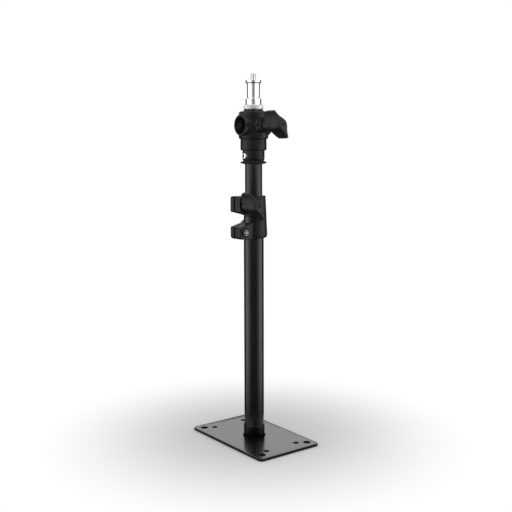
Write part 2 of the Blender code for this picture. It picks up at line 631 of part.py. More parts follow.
def make_collar_knob(plastic, brass, dark_steel):
    """The knob and washer ride on an empty whose Z is the knob bolt's axis, along +X."""
    axis = make_empty("collar_knob_axis", (0, CLAMP_AXIS, KNOB_BOLT_AXIS), (0, math.pi / 2, 0))
    washer_top = COLLAR_WASHER_BACK + KNOB_WASHER_THICKNESS
    make_object("collar_knob_washer", ring(
        KNOB_BOLT_BORE, KNOB_WASHER_RADIUS, COLLAR_WASHER_BACK, washer_top, KNOB_SEGMENTS,
        KNOB_WASHER_THICKNESS / 4
    ), dark_steel, parent=axis)
    back = make_empty("collar_knob_back", (0, 0, COLLAR_KNOB_BACK), parent=axis)
    make_knob("collar_knob", back, COLLAR_KNOB_HUB, plastic)
    make_object("collar_knob_insert", ring(
        KNOB_BOLT_BORE, KNOB_INSERT_RADIUS, SEAT_GAP, KNOB_INSERT_LENGTH, BOLT_SEGMENTS, SEAT_GAP
    ), brass, parent=back)


def make_mast(black_paint, plastic, rubber, steel):
    mast = make_object("mast_tube", ring(MAST_BORE, MAST_RADIUS, MAST_FOOT, MAST_TOP), black_paint)
    screw_hole = along(rod(NECK_SCREW_RADIUS + SEAT_GAP, 0, 2 * MAST_RADIUS), 'Y')
    cut(mast, make_object("mast_screw_hole", screw_hole, location=(0, 0, NECK_SCREW_AXIS)))

    guide_radius = TUBE_BORE - SEAT_GAP
    plug_foot = MAST_FOOT - SEAT_GAP - MAST_PLUG_FLANGE
    make_object("mast_end_plug", turned([
        (0, plug_foot), (guide_radius - SEAT_GAP, plug_foot),
        (guide_radius - SEAT_GAP, plug_foot + MAST_PLUG_FLANGE),
        (NECK_STEM_RADIUS, plug_foot + MAST_PLUG_FLANGE),
        (NECK_STEM_RADIUS, MAST_FOOT + MAST_PLUG_LENGTH), (0, MAST_FOOT + MAST_PLUG_LENGTH),
    ], TUBE_SEGMENTS), plastic)
    make_object("guide_ring", ring(
        BUSH_BORE, guide_radius, MAST_FOOT, MAST_FOOT + MAST_GUIDE_LENGTH
    ), plastic)

    hub = BUSH_BORE + STOP_HUB_WALL
    rim = BUSH_BORE + STOP_FLANGE
    rim_middle = STOP_FOOT + STOP_HEIGHT * STOP_RIM_SHARE
    make_object("stop_disk", turned([
        (BUSH_BORE, STOP_FOOT), (hub, STOP_FOOT), (rim, rim_middle - STOP_RIM / 2),
        (rim, rim_middle + STOP_RIM / 2), (hub, STOP_FOOT + STOP_HEIGHT * STOP_SHOULDER_SHARE),
        (hub - STOP_RIM / 2, STOP_FOOT + STOP_HEIGHT), (BUSH_BORE, STOP_FOOT + STOP_HEIGHT),
    ], TUBE_SEGMENTS), rubber)

    socket_top = NECK_SOCKET_FOOT + NECK_SOCKET_HEIGHT
    socket = make_object("neck_socket", turned(
        [(BUSH_BORE, NECK_SOCKET_FOOT)]
        + arc((NECK_SOCKET_RADIUS - NECK_ROUND, NECK_SOCKET_FOOT + NECK_ROUND), NECK_ROUND, -90, 0, 3)
        + [(NECK_SOCKET_RADIUS, socket_top), (BUSH_BORE, socket_top)], TUBE_SEGMENTS), plastic)
    place = (0, 0, NECK_SCREW_AXIS)
    cut(socket, make_object("socket_screw_hole", along(rod(
        NECK_SCREW_RADIUS + SEAT_GAP, 0, 2 * NECK_SOCKET_RADIUS), 'Y'), location=place))
    cut(socket, make_object("socket_screw_seat", along(rod(
        NECK_SCREW_HEAD_RADIUS + SEAT_GAP, NECK_SCREW_SEAT, 2 * NECK_SOCKET_RADIUS), 'Y'), location=place))

    head_foot = NECK_SCREW_SEAT + SEAT_GAP
    head_top = head_foot + NECK_SCREW_HEAD_HEIGHT
    tip = NECK_STEM_RADIUS - NECK_SCREW_BITE
    rise = (NECK_SCREW_HEAD_HEIGHT - NECK_SCREW_EDGE) / math.sin(NECK_SCREW_DOME)
    dome = [(NECK_SCREW_HEAD_RADIUS * math.cos(angle), head_foot + NECK_SCREW_EDGE + rise * math.sin(angle))
            for angle in (0, NECK_SCREW_DOME / 3, NECK_SCREW_DOME * 2 / 3, NECK_SCREW_DOME)]
    screw = make_object("neck_screw", along(turned(
        [(0, tip), (NECK_SCREW_RADIUS, tip), (NECK_SCREW_RADIUS, head_foot),
         (NECK_SCREW_HEAD_RADIUS, head_foot)] + dome + [(0, head_top)], BOLT_SEGMENTS), 'Y'),
        steel, location=place)
    cut(screw, make_object("neck_screw_key", along(prism(
        hexagon(NECK_SCREW_KEY), head_top - NECK_SCREW_KEY_DEPTH, 2 * head_top), 'Y')))

    ring_radius = BUSH_BORE + NECK_RING_WALL
    ring_top = NECK_RING_FOOT + NECK_RING_HEIGHT
    make_object("neck_ring", turned(
        [(BUSH_BORE, NECK_RING_FOOT)]
        + arc((ring_radius - NECK_ROUND, NECK_RING_FOOT + NECK_ROUND), NECK_ROUND, -90, 0, 3)
        + arc((ring_radius - NECK_ROUND / 2, ring_top - NECK_ROUND / 2), NECK_ROUND / 2, 0, 90, 2)
        + [(BUSH_BORE, ring_top)], TUBE_SEGMENTS), plastic)


def boss_outline(radius, flare, face, chamfer):
    """The side of a boss along Z from its flared root out to its face."""
    flare_arc = arc((radius + flare, face - flare * BOSS_FLARE_SHARE), flare, 270, 180, 4)
    return ([(radius + flare, face - 2 * flare)] + flare_arc
            + [(radius, face - chamfer), (radius - chamfer, face)])


def make_head(casting, plastic, brass, steel):
    body = make_object("head_body", turned(
        [(0, HEAD_FOOT - HEAD_STEM_LENGTH), (NECK_STEM_RADIUS, HEAD_FOOT - HEAD_STEM_LENGTH),
         (NECK_STEM_RADIUS, HEAD_FOOT)]
        + arc((HEAD_RADIUS - HEAD_FOOT_ROUND, HEAD_FOOT + HEAD_FOOT_ROUND), HEAD_FOOT_ROUND, -90, 0, 3)
        + arc((HEAD_RADIUS - HEAD_TOP_ROUND, HEAD_TOP - HEAD_TOP_ROUND), HEAD_TOP_ROUND, 0, 80, 3)
        + [(SOCKET_BORE + SPIGOT_WASHER_WALL + HEAD_TOP_CROWN, HEAD_TOP + HEAD_TOP_CROWN),
           (0, HEAD_TOP + HEAD_TOP_CROWN)], TUBE_SEGMENTS), casting)
    cut(body, make_object("stem_screw_hole", along(rod(
        NECK_SCREW_RADIUS + SEAT_GAP, NECK_STEM_RADIUS - NECK_SCREW_BITE - SEAT_GAP,
        2 * NECK_STEM_RADIUS), 'Y'), location=(0, 0, NECK_SCREW_AXIS)))
    place = (0, 0, SOCKET_AXIS)
    half = boss_outline(SOCKET_BOSS_RADIUS, SOCKET_BOSS_FLARE, SOCKET_FACE, SOCKET_MOUTH_CHAMFER)
    mirrored = [(radius, -height) for radius, height in reversed(half)]
    barrel = turned([(0, -SOCKET_FACE)] + mirrored + half + [(0, SOCKET_FACE)], KNOB_SEGMENTS)
    join(body, make_object("socket_bosses", along(barrel, 'Y'), location=place))
    side = boss_outline(KNOB_BOSS_RADIUS, KNOB_BOSS_FLARE, KNOB_BOSS_FACE, SEAT_GAP)
    knob_boss = [(0, side[0][1] - HEAD_WALL), (side[0][0], side[0][1] - HEAD_WALL)] + side
    knob_boss.append((0, KNOB_BOSS_FACE))
    join(body, make_object("knob_boss", along(turned(knob_boss, KNOB_SEGMENTS), 'X'), location=place))

    cut(body, make_object("spigot_socket", rod(
        SOCKET_BORE, SOCKET_FLOOR, HEAD_TOP + HEAD_WALL, KNOB_SEGMENTS)))
    mouth = SIDE_SOCKET_BORE + SOCKET_MOUTH_CHAMFER
    reach = SOCKET_FACE + HEAD_WALL
    through = turned([
        (0, -reach), (mouth, -reach), (mouth, -SOCKET_FACE),
        (SIDE_SOCKET_BORE, SOCKET_MOUTH_CHAMFER - SOCKET_FACE),
        (SIDE_SOCKET_BORE, SOCKET_FACE - SOCKET_MOUTH_CHAMFER), (mouth, SOCKET_FACE),
        (mouth, reach), (0, reach),
    ], KNOB_SEGMENTS)
    cut(body, make_object("side_socket", along(through, 'Y'), location=place))

    insert_foot = KNOB_RECESS_FLOOR - THREAD_INSERT_LENGTH
    knob_bore = turned([
        (0, SPIGOT_RADIUS / 2), (KNOB_BOLT_BORE, SPIGOT_RADIUS / 2), (KNOB_BOLT_BORE, insert_foot),
        (KNOB_INSERT_BORE, insert_foot), (KNOB_INSERT_BORE, KNOB_RECESS_FLOOR),
        (KNOB_RECESS_RADIUS, KNOB_RECESS_FLOOR), (KNOB_RECESS_RADIUS, 2 * KNOB_BOSS_FACE),
        (0, 2 * KNOB_BOSS_FACE),
    ], KNOB_SEGMENTS)
    cut(body, make_object("knob_bore", along(knob_bore, 'X'), location=place))
    axis = make_empty("head_knob_axis", place, (0, math.pi / 2, 0))
    make_object("head_thread_insert", ring(
        KNOB_BOLT_BORE, KNOB_INSERT_RADIUS, insert_foot + SEAT_GAP, KNOB_RECESS_FLOOR,
        BOLT_SEGMENTS, SEAT_GAP
    ), brass, parent=axis)
    make_object("pressure_pad", chamfered_rod(
        KNOB_BOLT_RADIUS, PAD_TIP, PAD_TIP + PAD_LENGTH, SEAT_GAP), brass, parent=axis)
    back = make_empty("head_knob_back", (0, 0, HEAD_KNOB_BACK), parent=axis)
    make_knob("head_knob", back, HEAD_KNOB_HUB, plastic)
    screw_foot = SCREW_TIP - HEAD_KNOB_BACK
    make_object("head_knob_screw", turned([
        (0, screw_foot), (KNOB_BOLT_RADIUS - SEAT_GAP, screw_foot),
        (KNOB_BOLT_RADIUS, screw_foot + SEAT_GAP), (KNOB_BOLT_RADIUS, SEAT_GAP),
        (KNOB_INSERT_RADIUS, SEAT_GAP), (KNOB_INSERT_RADIUS, KNOB_INSERT_LENGTH),
        (0, KNOB_INSERT_LENGTH),
    ], BOLT_SEGMENTS), steel, parent=back)


def knurled_ring(bore, radius, low, high):
    """A ring with V grooves down its side, which run out in the chamfers of its two outer edges."""
    chamfered = radius - KNURL_CHAMFER
    root = radius - KNURL_DEPTH
    rows = (
        (bore, bore, low), (chamfered, chamfered, low), (radius, root, low + KNURL_CHAMFER),
        (radius, root, high - KNURL_CHAMFER), (chamfered, chamfered, high), (bore, bore, high),
    )
    sections = []
    for crest, groove, height in rows:
        section = []
        for index in range(2 * KNURL_TEETH):
            angle = math.pi * index / KNURL_TEETH
            reach = groove if index % 2 else crest
            section.append((reach * math.cos(angle), reach * math.sin(angle), height))
        sections.append(section)
    return skin(sections + sections[:1])


def make_spigot(chrome, rubber):
    make_object("spigot_washer", ring(
        SOCKET_BORE, SOCKET_BORE + SPIGOT_WASHER_WALL, SPIGOT_WASHER_FOOT,
        SPIGOT_WASHER_FOOT + SPIGOT_WASHER_THICKNESS), rubber)
    make_object("knurled_ring", knurled_ring(
        SOCKET_BORE, SOCKET_BORE + KNURL_WALL, KNURL_FOOT, KNURL_FOOT + KNURL_HEIGHT), chrome)

    rim_round = SPIGOT_RIM_HEIGHT / 4
    body = make_object("spigot_body", turned([
        (0, SPIGOT_FOOT), (SPIGOT_RADIUS - SPIGOT_CHAMFER, SPIGOT_FOOT),
        (SPIGOT_RADIUS, SPIGOT_FOOT + SPIGOT_CHAMFER),
        (SPIGOT_RADIUS, SPIGOT_WAIST_FOOT - SPIGOT_CHAMFER / 3),
        (SPIGOT_RADIUS - SPIGOT_CHAMFER / 3, SPIGOT_WAIST_FOOT),
        (SPIGOT_WAIST_RADIUS, SPIGOT_WAIST_FOOT + SPIGOT_CHAMFER),
        (SPIGOT_WAIST_RADIUS, SPIGOT_RIM_FOOT - SPIGOT_CHAMFER),
        (SPIGOT_RIM_RADIUS, SPIGOT_RIM_FOOT), (SPIGOT_RIM_RADIUS, SPIGOT_TOP - rim_round),
        (SPIGOT_RIM_RADIUS - rim_round, SPIGOT_TOP), (0, SPIGOT_TOP),
    ], TUBE_SEGMENTS), chrome)
    cut(body, make_object("stud_hole", rod(
        STUD_RADIUS + SEAT_GAP, SPIGOT_TOP - STUD_HIDDEN - SEAT_GAP, 2 * SPIGOT_TOP)))
    make_object("spigot_stud", chamfered_rod(
        STUD_RADIUS, SPIGOT_TOP - STUD_HIDDEN, SPIGOT_TOP + STUD_SHOWN, STUD_CHAMFER), chrome)


def main():
    for obj in list(bpy.data.objects):
        bpy.data.objects.remove(obj)
    black_paint = make_material("black_paint", (0.018, 0.018, 0.019), 0.38)
    plastic = make_material("black_plastic", (0.022, 0.022, 0.023), 0.5)
    casting = make_material("black_casting", (0.020, 0.020, 0.021), 0.45)
    rubber = make_material("black_rubber", (0.014, 0.014, 0.014), 0.75)
    chrome = make_material("chrome", (0.80, 0.80, 0.81), 0.12, 1.0)
    steel = make_material("zinc_steel", (0.62, 0.62, 0.60), 0.3, 1.0)
    dark_steel = make_material("dark_steel", (0.22, 0.22, 0.22), 0.45, 1.0)
    brass = make_material("brass", (0.72, 0.53, 0.22), 0.3, 1.0)
    make_base(steel, black_paint, dark_steel)
    make_guide_bush(plastic)
    make_collar(plastic, steel, dark_steel)
    make_collar_knob(plastic, brass, dark_steel)
    make_mast(black_paint, plastic, rubber, steel)
    make_head(casting, plastic, brass, steel)
    make_spigot(chrome, rubber)


main()
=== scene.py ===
"""Looks of the telescopic light stand: finer pieces, finishes, floor, lamps and camera.

Metres, in the frame of the CAD model: +Z up the mast, +X along both knobs, the clamp's ears and the
front socket towards -Y.
"""

import math

import bmesh
import bpy
import numpy
from mathutils import Matrix, Vector


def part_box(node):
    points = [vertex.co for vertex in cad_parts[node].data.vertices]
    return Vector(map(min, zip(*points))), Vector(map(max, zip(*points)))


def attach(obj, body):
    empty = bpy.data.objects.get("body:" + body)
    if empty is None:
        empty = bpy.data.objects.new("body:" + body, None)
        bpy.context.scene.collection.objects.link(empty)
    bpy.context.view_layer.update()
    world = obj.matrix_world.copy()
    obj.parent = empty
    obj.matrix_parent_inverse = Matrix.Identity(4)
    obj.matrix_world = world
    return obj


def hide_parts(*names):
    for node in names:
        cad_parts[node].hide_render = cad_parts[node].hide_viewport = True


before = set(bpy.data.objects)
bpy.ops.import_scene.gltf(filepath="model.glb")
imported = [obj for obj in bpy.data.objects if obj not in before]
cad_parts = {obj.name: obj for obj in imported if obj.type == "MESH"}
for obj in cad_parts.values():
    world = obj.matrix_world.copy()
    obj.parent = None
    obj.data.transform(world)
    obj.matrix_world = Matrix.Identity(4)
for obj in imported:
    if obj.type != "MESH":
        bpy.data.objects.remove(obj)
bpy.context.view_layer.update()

MM = 0.001
TAU = math.tau

CAMERA_AZIMUTH = math.radians(52.8)
CAMERA_PITCH = math.radians(7.36)
CAMERA_ROLL = math.radians(-0.13)
CAMERA_PLACE = (1.1581, -0.8742, 0.519)
CAMERA_LENS = 58.36
CAMERA_NEAR, CAMERA_FAR = 0.05, 50
SENSOR = 36.0

ROUND_SEGMENTS = 128
SMALL_SEGMENTS = 64
CAST_VOXEL = 0.5 * MM
COLLAR_VOXEL = 0.58 * MM
KNOB_VOXEL = 0.4 * MM
OVERSHOOT = 6 * MM
MERGE = 1e-7

SEAT_GAP = 0.3 * MM
TUBE_RADIUS = 17.5 * MM
TUBE_WALL = 1.2 * MM
MAST_WALL = 1.5 * MM
TUBE_EDGE = 0.3 * MM
MAST_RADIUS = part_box("mast_tube")[1].x
MAST_FIT = MAST_RADIUS + SEAT_GAP
SCREW_RADIUS = 3 * MM
SCREW_FIT = SCREW_RADIUS + SEAT_GAP

PLATE_CORNER = 7 * MM
PLATE_EDGE = 0.9 * MM
HOLE_LIP = 0.35 * MM
# Radius, then the distance of its axis from the plate's ends and from its long sides.
LARGE_HOLE = (6.5 * MM, 16.5 * MM, 15 * MM)
SMALL_HOLE = (5 * MM, 26 * MM, 32 * MM)
FOOT_SCREW_FIT = 5 * MM + SEAT_GAP
FOOT_SCREW_SEAT = 9.5 * MM + SEAT_GAP
FOOT_SCREW_RIM = 1.0 * MM
FERRULE_WALL = 1.0 * MM
WELD_FILL = 0.94
WELD_RIPPLE_HEIGHT = 0.06 * MM
WELD_RIPPLES, WELD_WAVES = 60, 17
# Reach and rise of the bead's section, in shares of its leg.
WELD_SECTION = ((0, 0), (1.0, 0), (0.86, 0.3), (0.62, 0.58), (0.3, 0.82), (0, WELD_FILL))

COLLAR_GRIP = 38 * MM
COLLAR_WALL, COLLAR_TOP_WALL = 6.2 * MM, 3.5 * MM
COLLAR_BORE = TUBE_RADIUS + SEAT_GAP
COLLAR_RADIUS = COLLAR_BORE + COLLAR_WALL
COLLAR_TOP_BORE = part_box("guide_bush")[1].x + SEAT_GAP
COLLAR_TOP_RADIUS = COLLAR_TOP_BORE + COLLAR_TOP_WALL
SLIT_HALF = 1.65 * MM
EAR_FAR_THICKNESS, EAR_NEAR_THICKNESS = 10.75 * MM, 15.85 * MM
EAR_FAR_FACE, EAR_NEAR_FACE = -SLIT_HALF - EAR_FAR_THICKNESS, SLIT_HALF + EAR_NEAR_THICKNESS
EAR_EDGE = 2.0 * MM
NOTCH_PAST_AXIS = 3 * MM
NOTCH_DROP = 3 * MM
NOTCH_HALF_APEX = 1.2 * MM
NOTCH_BELOW = 13 * MM
NOTCH_ABOVE = 11 * MM
NOTCH_MOUTH_ROUND = 3 * MM
NUT_POCKET_RADIUS, NUT_POCKET_DEPTH = 7.2 * MM, 2.5 * MM

CLAMP_SCREW_HEAD, CLAMP_SCREW_HEIGHT, CLAMP_SCREW_KEY = 5 * MM, 6 * MM, 5 * MM
SCREW_POCKET_RADIUS, SCREW_POCKET_DEPTH = CLAMP_SCREW_HEAD + 2 * SEAT_GAP, 3 * MM
CLAMP_SCREW_PLAIN = 8 * MM
CLAMP_NUT_FLATS = 10 * MM
KNOB_BOLT_RADIUS = 4 * MM
KNOB_BOLT_FIT = KNOB_BOLT_RADIUS + SEAT_GAP
KNOB_BOLT_FLATS, KNOB_BOLT_HEIGHT = 13 * MM, 5.3 * MM
BOLT_POCKET_FLATS, BOLT_POCKET_DEPTH = KNOB_BOLT_FLATS + 2 * SEAT_GAP, 3.5 * MM
KNOB_BOLT_PLAIN = 20 * MM
WASHER_RADIUS = 13 * MM
SCREW_PITCH, SCREW_THREAD_DEPTH = 1.0 * MM, 0.45 * MM
KNOB_BOLT_PITCH, KNOB_BOLT_THREAD_DEPTH = 1.25 * MM, 0.6 * MM
STUD_PITCH, STUD_THREAD_DEPTH = 25.4 / 16 * MM, 0.85 * MM
THREAD_TOP, THREAD_FLANK = 0.95, 1.15

BUSH_SLOT_HALF = 1 * MM
BUSH_SLOT_START = 6 * MM

STOP_HUB_WALL = 3.2 * MM
STOP_HALF_RIM = 0.9 * MM
STOP_RIM_SHARE, STOP_SHOULDER_SHARE = 0.4, 0.72
NECK_SCREW_HEAD, NECK_SCREW_HEIGHT, NECK_SCREW_KEY = 5.5 * MM, 3.1 * MM, 4 * MM
NECK_SEAT_RADIUS, NECK_SEAT_DEPTH = NECK_SCREW_HEAD + SEAT_GAP, 1.1 * MM
NECK_SCREW_RIM, NECK_SCREW_KEY_DEPTH = 0.4 * MM, 2.4 * MM
NECK_SCREW_SPIN = math.radians(12)
DOME_SIDE_POWER, DOME_TOP_POWER = 0.62, 0.8
NECK_SCREW_BITE = 6 * MM

KNOB_HALF_SPAN = 26.6 * MM
KNOB_DEPTH = 37.2 * MM
KNOB_TIP_SETBACK, KNOB_TIP_POWER = 6.0 * MM, 1.5
KNOB_BACK_SWEEP, KNOB_BACK_POWER = 9.0 * MM, 5
KNOB_MIDDLE_HALF_WIDTH, KNOB_WIDTH_POWER = 8.2 * MM, 1.8
KNOB_TIP_HALF_WIDTH = 2.3 * MM
KNOB_EDGE_ROUND = 0.8 * MM
KNOB_HUB_RADIUS = 10.5 * MM
KNOB_HUB_TOP_RADIUS = 7.6 * MM
KNOB_HUB_SHOULDER = 18.0 * MM
KNOB_TILT = math.radians(34)
KNOB_DIMPLE_RADIUS = 1.6 * MM
KNOB_DIMPLE_DEPTH = 2.5 * MM
KNOB_BORE_DEPTH = 24.6 * MM
KNOB_INSERT_BORE = 6.5 * MM + SEAT_GAP
HEAD_KNOB_HUB, COLLAR_KNOB_HUB = 10 * MM, 0.5 * MM

SPIGOT_RADIUS = 14 * MM
SOCKET_BORE = SPIGOT_RADIUS + SEAT_GAP
SIDE_SOCKET_BORE = SOCKET_BORE + 0.5 * MM
SOCKET_MOUTH = 0.6 * MM
SOCKET_BOSS_WALL = 2.7 * MM
SOCKET_BOSS_RADIUS = SIDE_SOCKET_BORE + SOCKET_BOSS_WALL
SOCKET_BOSS_BLEND = 5.8 * MM
SOCKET_BOSS_EDGE = 0.7 * MM
SOCKET_FLOOR_THICKNESS = 5.4 * MM
HEAD_WALL = 11.2 * MM
HEAD_RADIUS = SOCKET_BORE + HEAD_WALL
HEAD_CROWN = 1.2 * MM
HEAD_EDGE_BLEND = 4.1 * MM
CROWN_RADIUS = 18.5 * MM
CROWN_BLEND = 2.0 * MM
CROWN_EDGE = 0.6 * MM
HEAD_STEM = 36.0 * MM
STEM_RADIUS = MAST_RADIUS - MAST_WALL - SEAT_GAP
STEM_EDGE = 0.3 * MM
KNOB_BOSS_BLEND = 3.8 * MM
KNOB_BOSS_EDGE = 0.5 * MM
KNOB_RECESS_RADIUS, KNOB_RECESS_DEPTH = KNOB_HUB_RADIUS + 0.5 * MM, 3.0 * MM
KNOB_BOSS_WALL = 1.5 * MM
KNOB_BOSS_RADIUS = KNOB_RECESS_RADIUS + KNOB_BOSS_WALL
KNOB_INSERT_DEPTH = 14.5 * MM

SEAL_WALL = 2 * MM
KNURL_TEETH = 64
KNURL_DEPTH = 0.5 * MM
KNURL_CHAMFER = 1.0 * MM
KNURL_LEAD = 1.7 * MM
KNURL_SHARPNESS = 2.2
SPIGOT_LOWER_LENGTH = 18 * MM
SPIGOT_WAIST_RADIUS = 11.4 * MM
SPIGOT_WAIST_TAPER = 1.6 * MM
SPIGOT_RIM_RADIUS = 13.8 * MM
SPIGOT_RIM_HEIGHT = 4 * MM
STUD_HOLE_RADIUS, STUD_HOLE_DEPTH = 4.75 * MM + SEAT_GAP, 18 * MM + SEAT_GAP

FLOOR_RADIUS = 30.0
FLOOR_DROP = 0.1 * MM
FLOOR_GREY = 0.80
FLOOR_CENTRE = (-0.02, 0.015, 0.0)
SHADE_INNER, SHADE_OUTER = 0.06, 0.41
WORLD_FILL = 0.72

SOFTBOX_AZIMUTH, SOFTBOX_DISTANCE, SOFTBOX_HEIGHT = 75, 1.6, 0.7
SOFTBOX_SIZE = (0.9, 1.2)
SOFTBOX_RADIANCE = 0.5
# The level behind the camera, and the degrees to each side between which it rises to the side's.
LOW_FRONT = (0.14, 28, 86)
HIGH_FRONT = (0.30, 6, 46)
SIDE_LEVEL, REAR_LEVEL, SIDE_TO_REAR = 2.0, 0.02, (98, 116)
WALL_RADIUS, WALL_HEIGHT, LOW_WALL_REACH, HIGH_WALL_REACH = 1.2, 3.0, 138, 150
WALL_SPLIT = 0.56
HIGH_WALL_SHARE = 0.75
FULL_CIRCLE_REACH = 180
SHEET_HEIGHT = 0.002
# Radius and share of the glow, from the plate outwards.
FLOOR_GLOW = ((0.13, 0.12), (0.3, 0.45), (0.6, 0.8), (WALL_RADIUS, 1.0), (12.0, 1.0))
REAR_FLAG_RADIUS, REAR_FLAG_HEIGHT = 3.0, 0.75


def smoothstep(value, low, high):
    share = min(1.0, max(0.0, (value - low) / (high - low)))
    return share * share * (3 - 2 * share)


def extent(node_name):
    """Foot, top and radius of a CAD node that is turned about the mast's axis."""
    low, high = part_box(node_name)
    return low.z, high.z, (high.y - low.y) / 2


def middle(node_name, axis):
    """The middle of a CAD node's box along one axis."""
    low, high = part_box(node_name)
    return (low[axis] + high[axis]) / 2


def filleted(corners, steps=6):
    """A closed outline from (x, y, fillet radius) corners, with an arc at each corner that has a radius."""
    points = []
    for index, (x, y, radius) in enumerate(corners):
        corner = Vector((x, y))
        before = Vector(corners[index - 1][:2]) - corner
        after = Vector(corners[(index + 1) % len(corners)][:2]) - corner
        if radius <= 0:
            points.append((x, y))
            continue
        before.normalize()
        after.normalize()
        half = before.angle(after) / 2
        centre = corner + (before + after).normalized() * (radius / math.sin(half))
        first = corner + before * (radius / math.tan(half)) - centre
        last = corner + after * (radius / math.tan(half)) - centre
        for step in range(steps + 1):
            point = centre + first.slerp(last, step / steps).normalized() * radius
            points.append((point.x, point.y))
    return points


def turned(profile, segments=ROUND_SEGMENTS):
    """Spin a closed (radius, height) outline about Z. Its edge on the axis, if any, is left out."""
    bm = bmesh.new()
    verts = [bm.verts.new((radius, 0, height)) for radius, height in profile]
    edges = []
    for index, vert in enumerate(verts):
        following = verts[(index + 1) % len(verts)]
        if vert.co.x > MERGE or following.co.x > MERGE:
            edges.append(bm.edges.new((vert, following)))
    bmesh.ops.spin(bm, geom=verts + edges, cent=(0, 0, 0), axis=(0, 0, 1), angle=TAU, steps=segments)
    return bm


def rod(radius, low, high, segments=SMALL_SEGMENTS):
    return turned([(0, low), (radius, low), (radius, high), (0, high)], segments)


def prism(outline, low, high, edge_round=0.0, steps=3):
    """Extrude a flat outline along Z, with the edges of its two ends rounded if asked."""
    bm = bmesh.new()
    floor = bm.faces.new([bm.verts.new((x, y, low)) for x, y in outline])
    extruded = bmesh.ops.extrude_face_region(bm, geom=[floor])["geom"]
    top = [item for item in extruded if isinstance(item, bmesh.types.BMVert)]
    bmesh.ops.translate(bm, verts=top, vec=(0, 0, high - low))
    bmesh.ops.recalc_face_normals(bm, faces=bm.faces)
    if edge_round:
        ends = [edge for edge in bm.edges if abs(edge.verts[0].co.z - edge.verts[1].co.z) < MERGE]
        bmesh.ops.bevel(bm, geom=ends, offset=edge_round, segments=steps, profile=0.5, affect='EDGES')
    return bm


def box(low, high):
    (x0, y0, z0), (x1, y1, z1) = low, high
    return prism([(x0, y0), (x1, y0), (x1, y1), (x0, y1)], z0, z1)


def hexagon(flats):
    corner = flats / math.sqrt(3)
    return [(corner * math.cos(TAU * side / 6), corner * math.sin(TAU * side / 6)) for side in range(6)]


def skin(sections, capped=False):
    """Skin a row of closed sections with the same number of points, and cap both ends if asked."""
    bm = bmesh.new()
    loops = [[bm.verts.new(point) for point in section] for section in sections]
    for first, second in zip(loops, loops[1:]):
        for index in range(len(first)):
            following = (index + 1) % len(first)
            bm.faces.new((first[index], first[following], second[following], second[index]))
    if capped:
        bm.faces.new(loops[0])
        bm.faces.new(loops[-1])
    return bm


def frame_along(axis, place=(0, 0, 0), spin=0.0):
    """The matrix that takes a shape made along Z to one along +X or -Y at a place.

    'knob' is +X too, but keeps the shape's own Y, as the knobs' wings need.
    """
    turn = {
        'X': Matrix(((0, 0, 1), (1, 0, 0), (0, 1, 0))),
        'knob': Matrix(((0, 0, 1), (0, 1, 0), (-1, 0, 0))),
        '-Y': Matrix(((1, 0, 0), (0, 0, -1), (0, 1, 0))),
    }[axis]
    return Matrix.Translation(place) @ turn.to_4x4() @ Matrix.Rotation(spin, 4, 'Z')


def bolt_frame(node_name):
    """The frame along +X on a CAD node's own axis."""
    return frame_along('X', (0, middle(node_name, 1), middle(node_name, 2)))


def neck_screw_frame(spin=0.0):
    return frame_along('-Y', (0, 0, middle("neck_screw", 2)), spin)


def make_object(name, bm, matrix=None, sharp=40):
    if matrix is not None:
        bmesh.ops.transform(bm, matrix=matrix, verts=bm.verts)
    bmesh.ops.remove_doubles(bm, verts=bm.verts, dist=MERGE)
    bmesh.ops.recalc_face_normals(bm, faces=bm.faces)
    mesh = bpy.data.meshes.new(name)
    bm.to_mesh(mesh)
    bm.free()
    mesh.shade_smooth()
    mesh.set_sharp_from_angle(angle=math.radians(sharp))
    obj = bpy.data.objects.new(name, mesh)
    bpy.context.scene.collection.objects.link(obj)
    return obj


def settle(obj, sharp=40):
    """Apply the object's modifiers, and remove the tools that they used."""
    tools = [m.object for m in obj.modifiers if m.type == 'BOOLEAN']
    graph = bpy.context.evaluated_depsgraph_get()
    mesh = bpy.data.meshes.new_from_object(obj.evaluated_get(graph), depsgraph=graph)
    obj.modifiers.clear()
    obj.data = mesh
    mesh.shade_smooth()
    mesh.set_sharp_from_angle(angle=math.radians(sharp))
    for tool in tools:
        bpy.data.objects.remove(tool)
    return obj


def combine(target, tool_bm, operation, matrix=None):
    tool = make_object("tool", tool_bm, matrix)
    modifier = target.modifiers.new("tool", 'BOOLEAN')
    modifier.operation = operation
    modifier.solver = 'EXACT'
    modifier.object = tool


def join(target, tool_bm, matrix=None):
    combine(target, tool_bm, 'UNION', matrix)


def cut(target, tool_bm, matrix=None):
    combine(target, tool_bm, 'DIFFERENCE', matrix)


def soften(obj, voxel, rounds):
    """Give a solid the small fillets of a casting or moulding: one even skin, then smoothed."""
    remesh = obj.modifiers.new("skin", 'REMESH')
    remesh.mode = 'VOXEL'
    remesh.voxel_size = voxel
    remesh.use_smooth_shade = True
    smooth = obj.modifiers.new("fillets", 'SMOOTH')
    smooth.factor = 0.5
    smooth.iterations = rounds
    return settle(obj, 180)


def cast(name, shells, voxel, rounds):
    """One softened solid out of several overlapping closed shells."""
    whole = bmesh.new()
    for shell, matrix in shells:
        bmesh.ops.transform(shell, matrix=matrix, verts=shell.verts)
        bmesh.ops.remove_doubles(shell, verts=shell.verts, dist=MERGE)
        bmesh.ops.recalc_face_normals(shell, faces=shell.faces)
        mesh = bpy.data.meshes.new("shell")
        shell.to_mesh(mesh)
        shell.free()
        whole.from_mesh(mesh)
        bpy.data.meshes.remove(mesh)
    return soften(make_object(name, whole), voxel, rounds)


def set_inputs(tree, target, values):
    """Set a shader node's inputs. A value is a number, a colour or the socket that feeds it."""
    for key, value in values.items():
        if isinstance(value, bpy.types.NodeSocket):
            tree.links.new(value, target.inputs[key])
        else:
            target.inputs[key].default_value = value


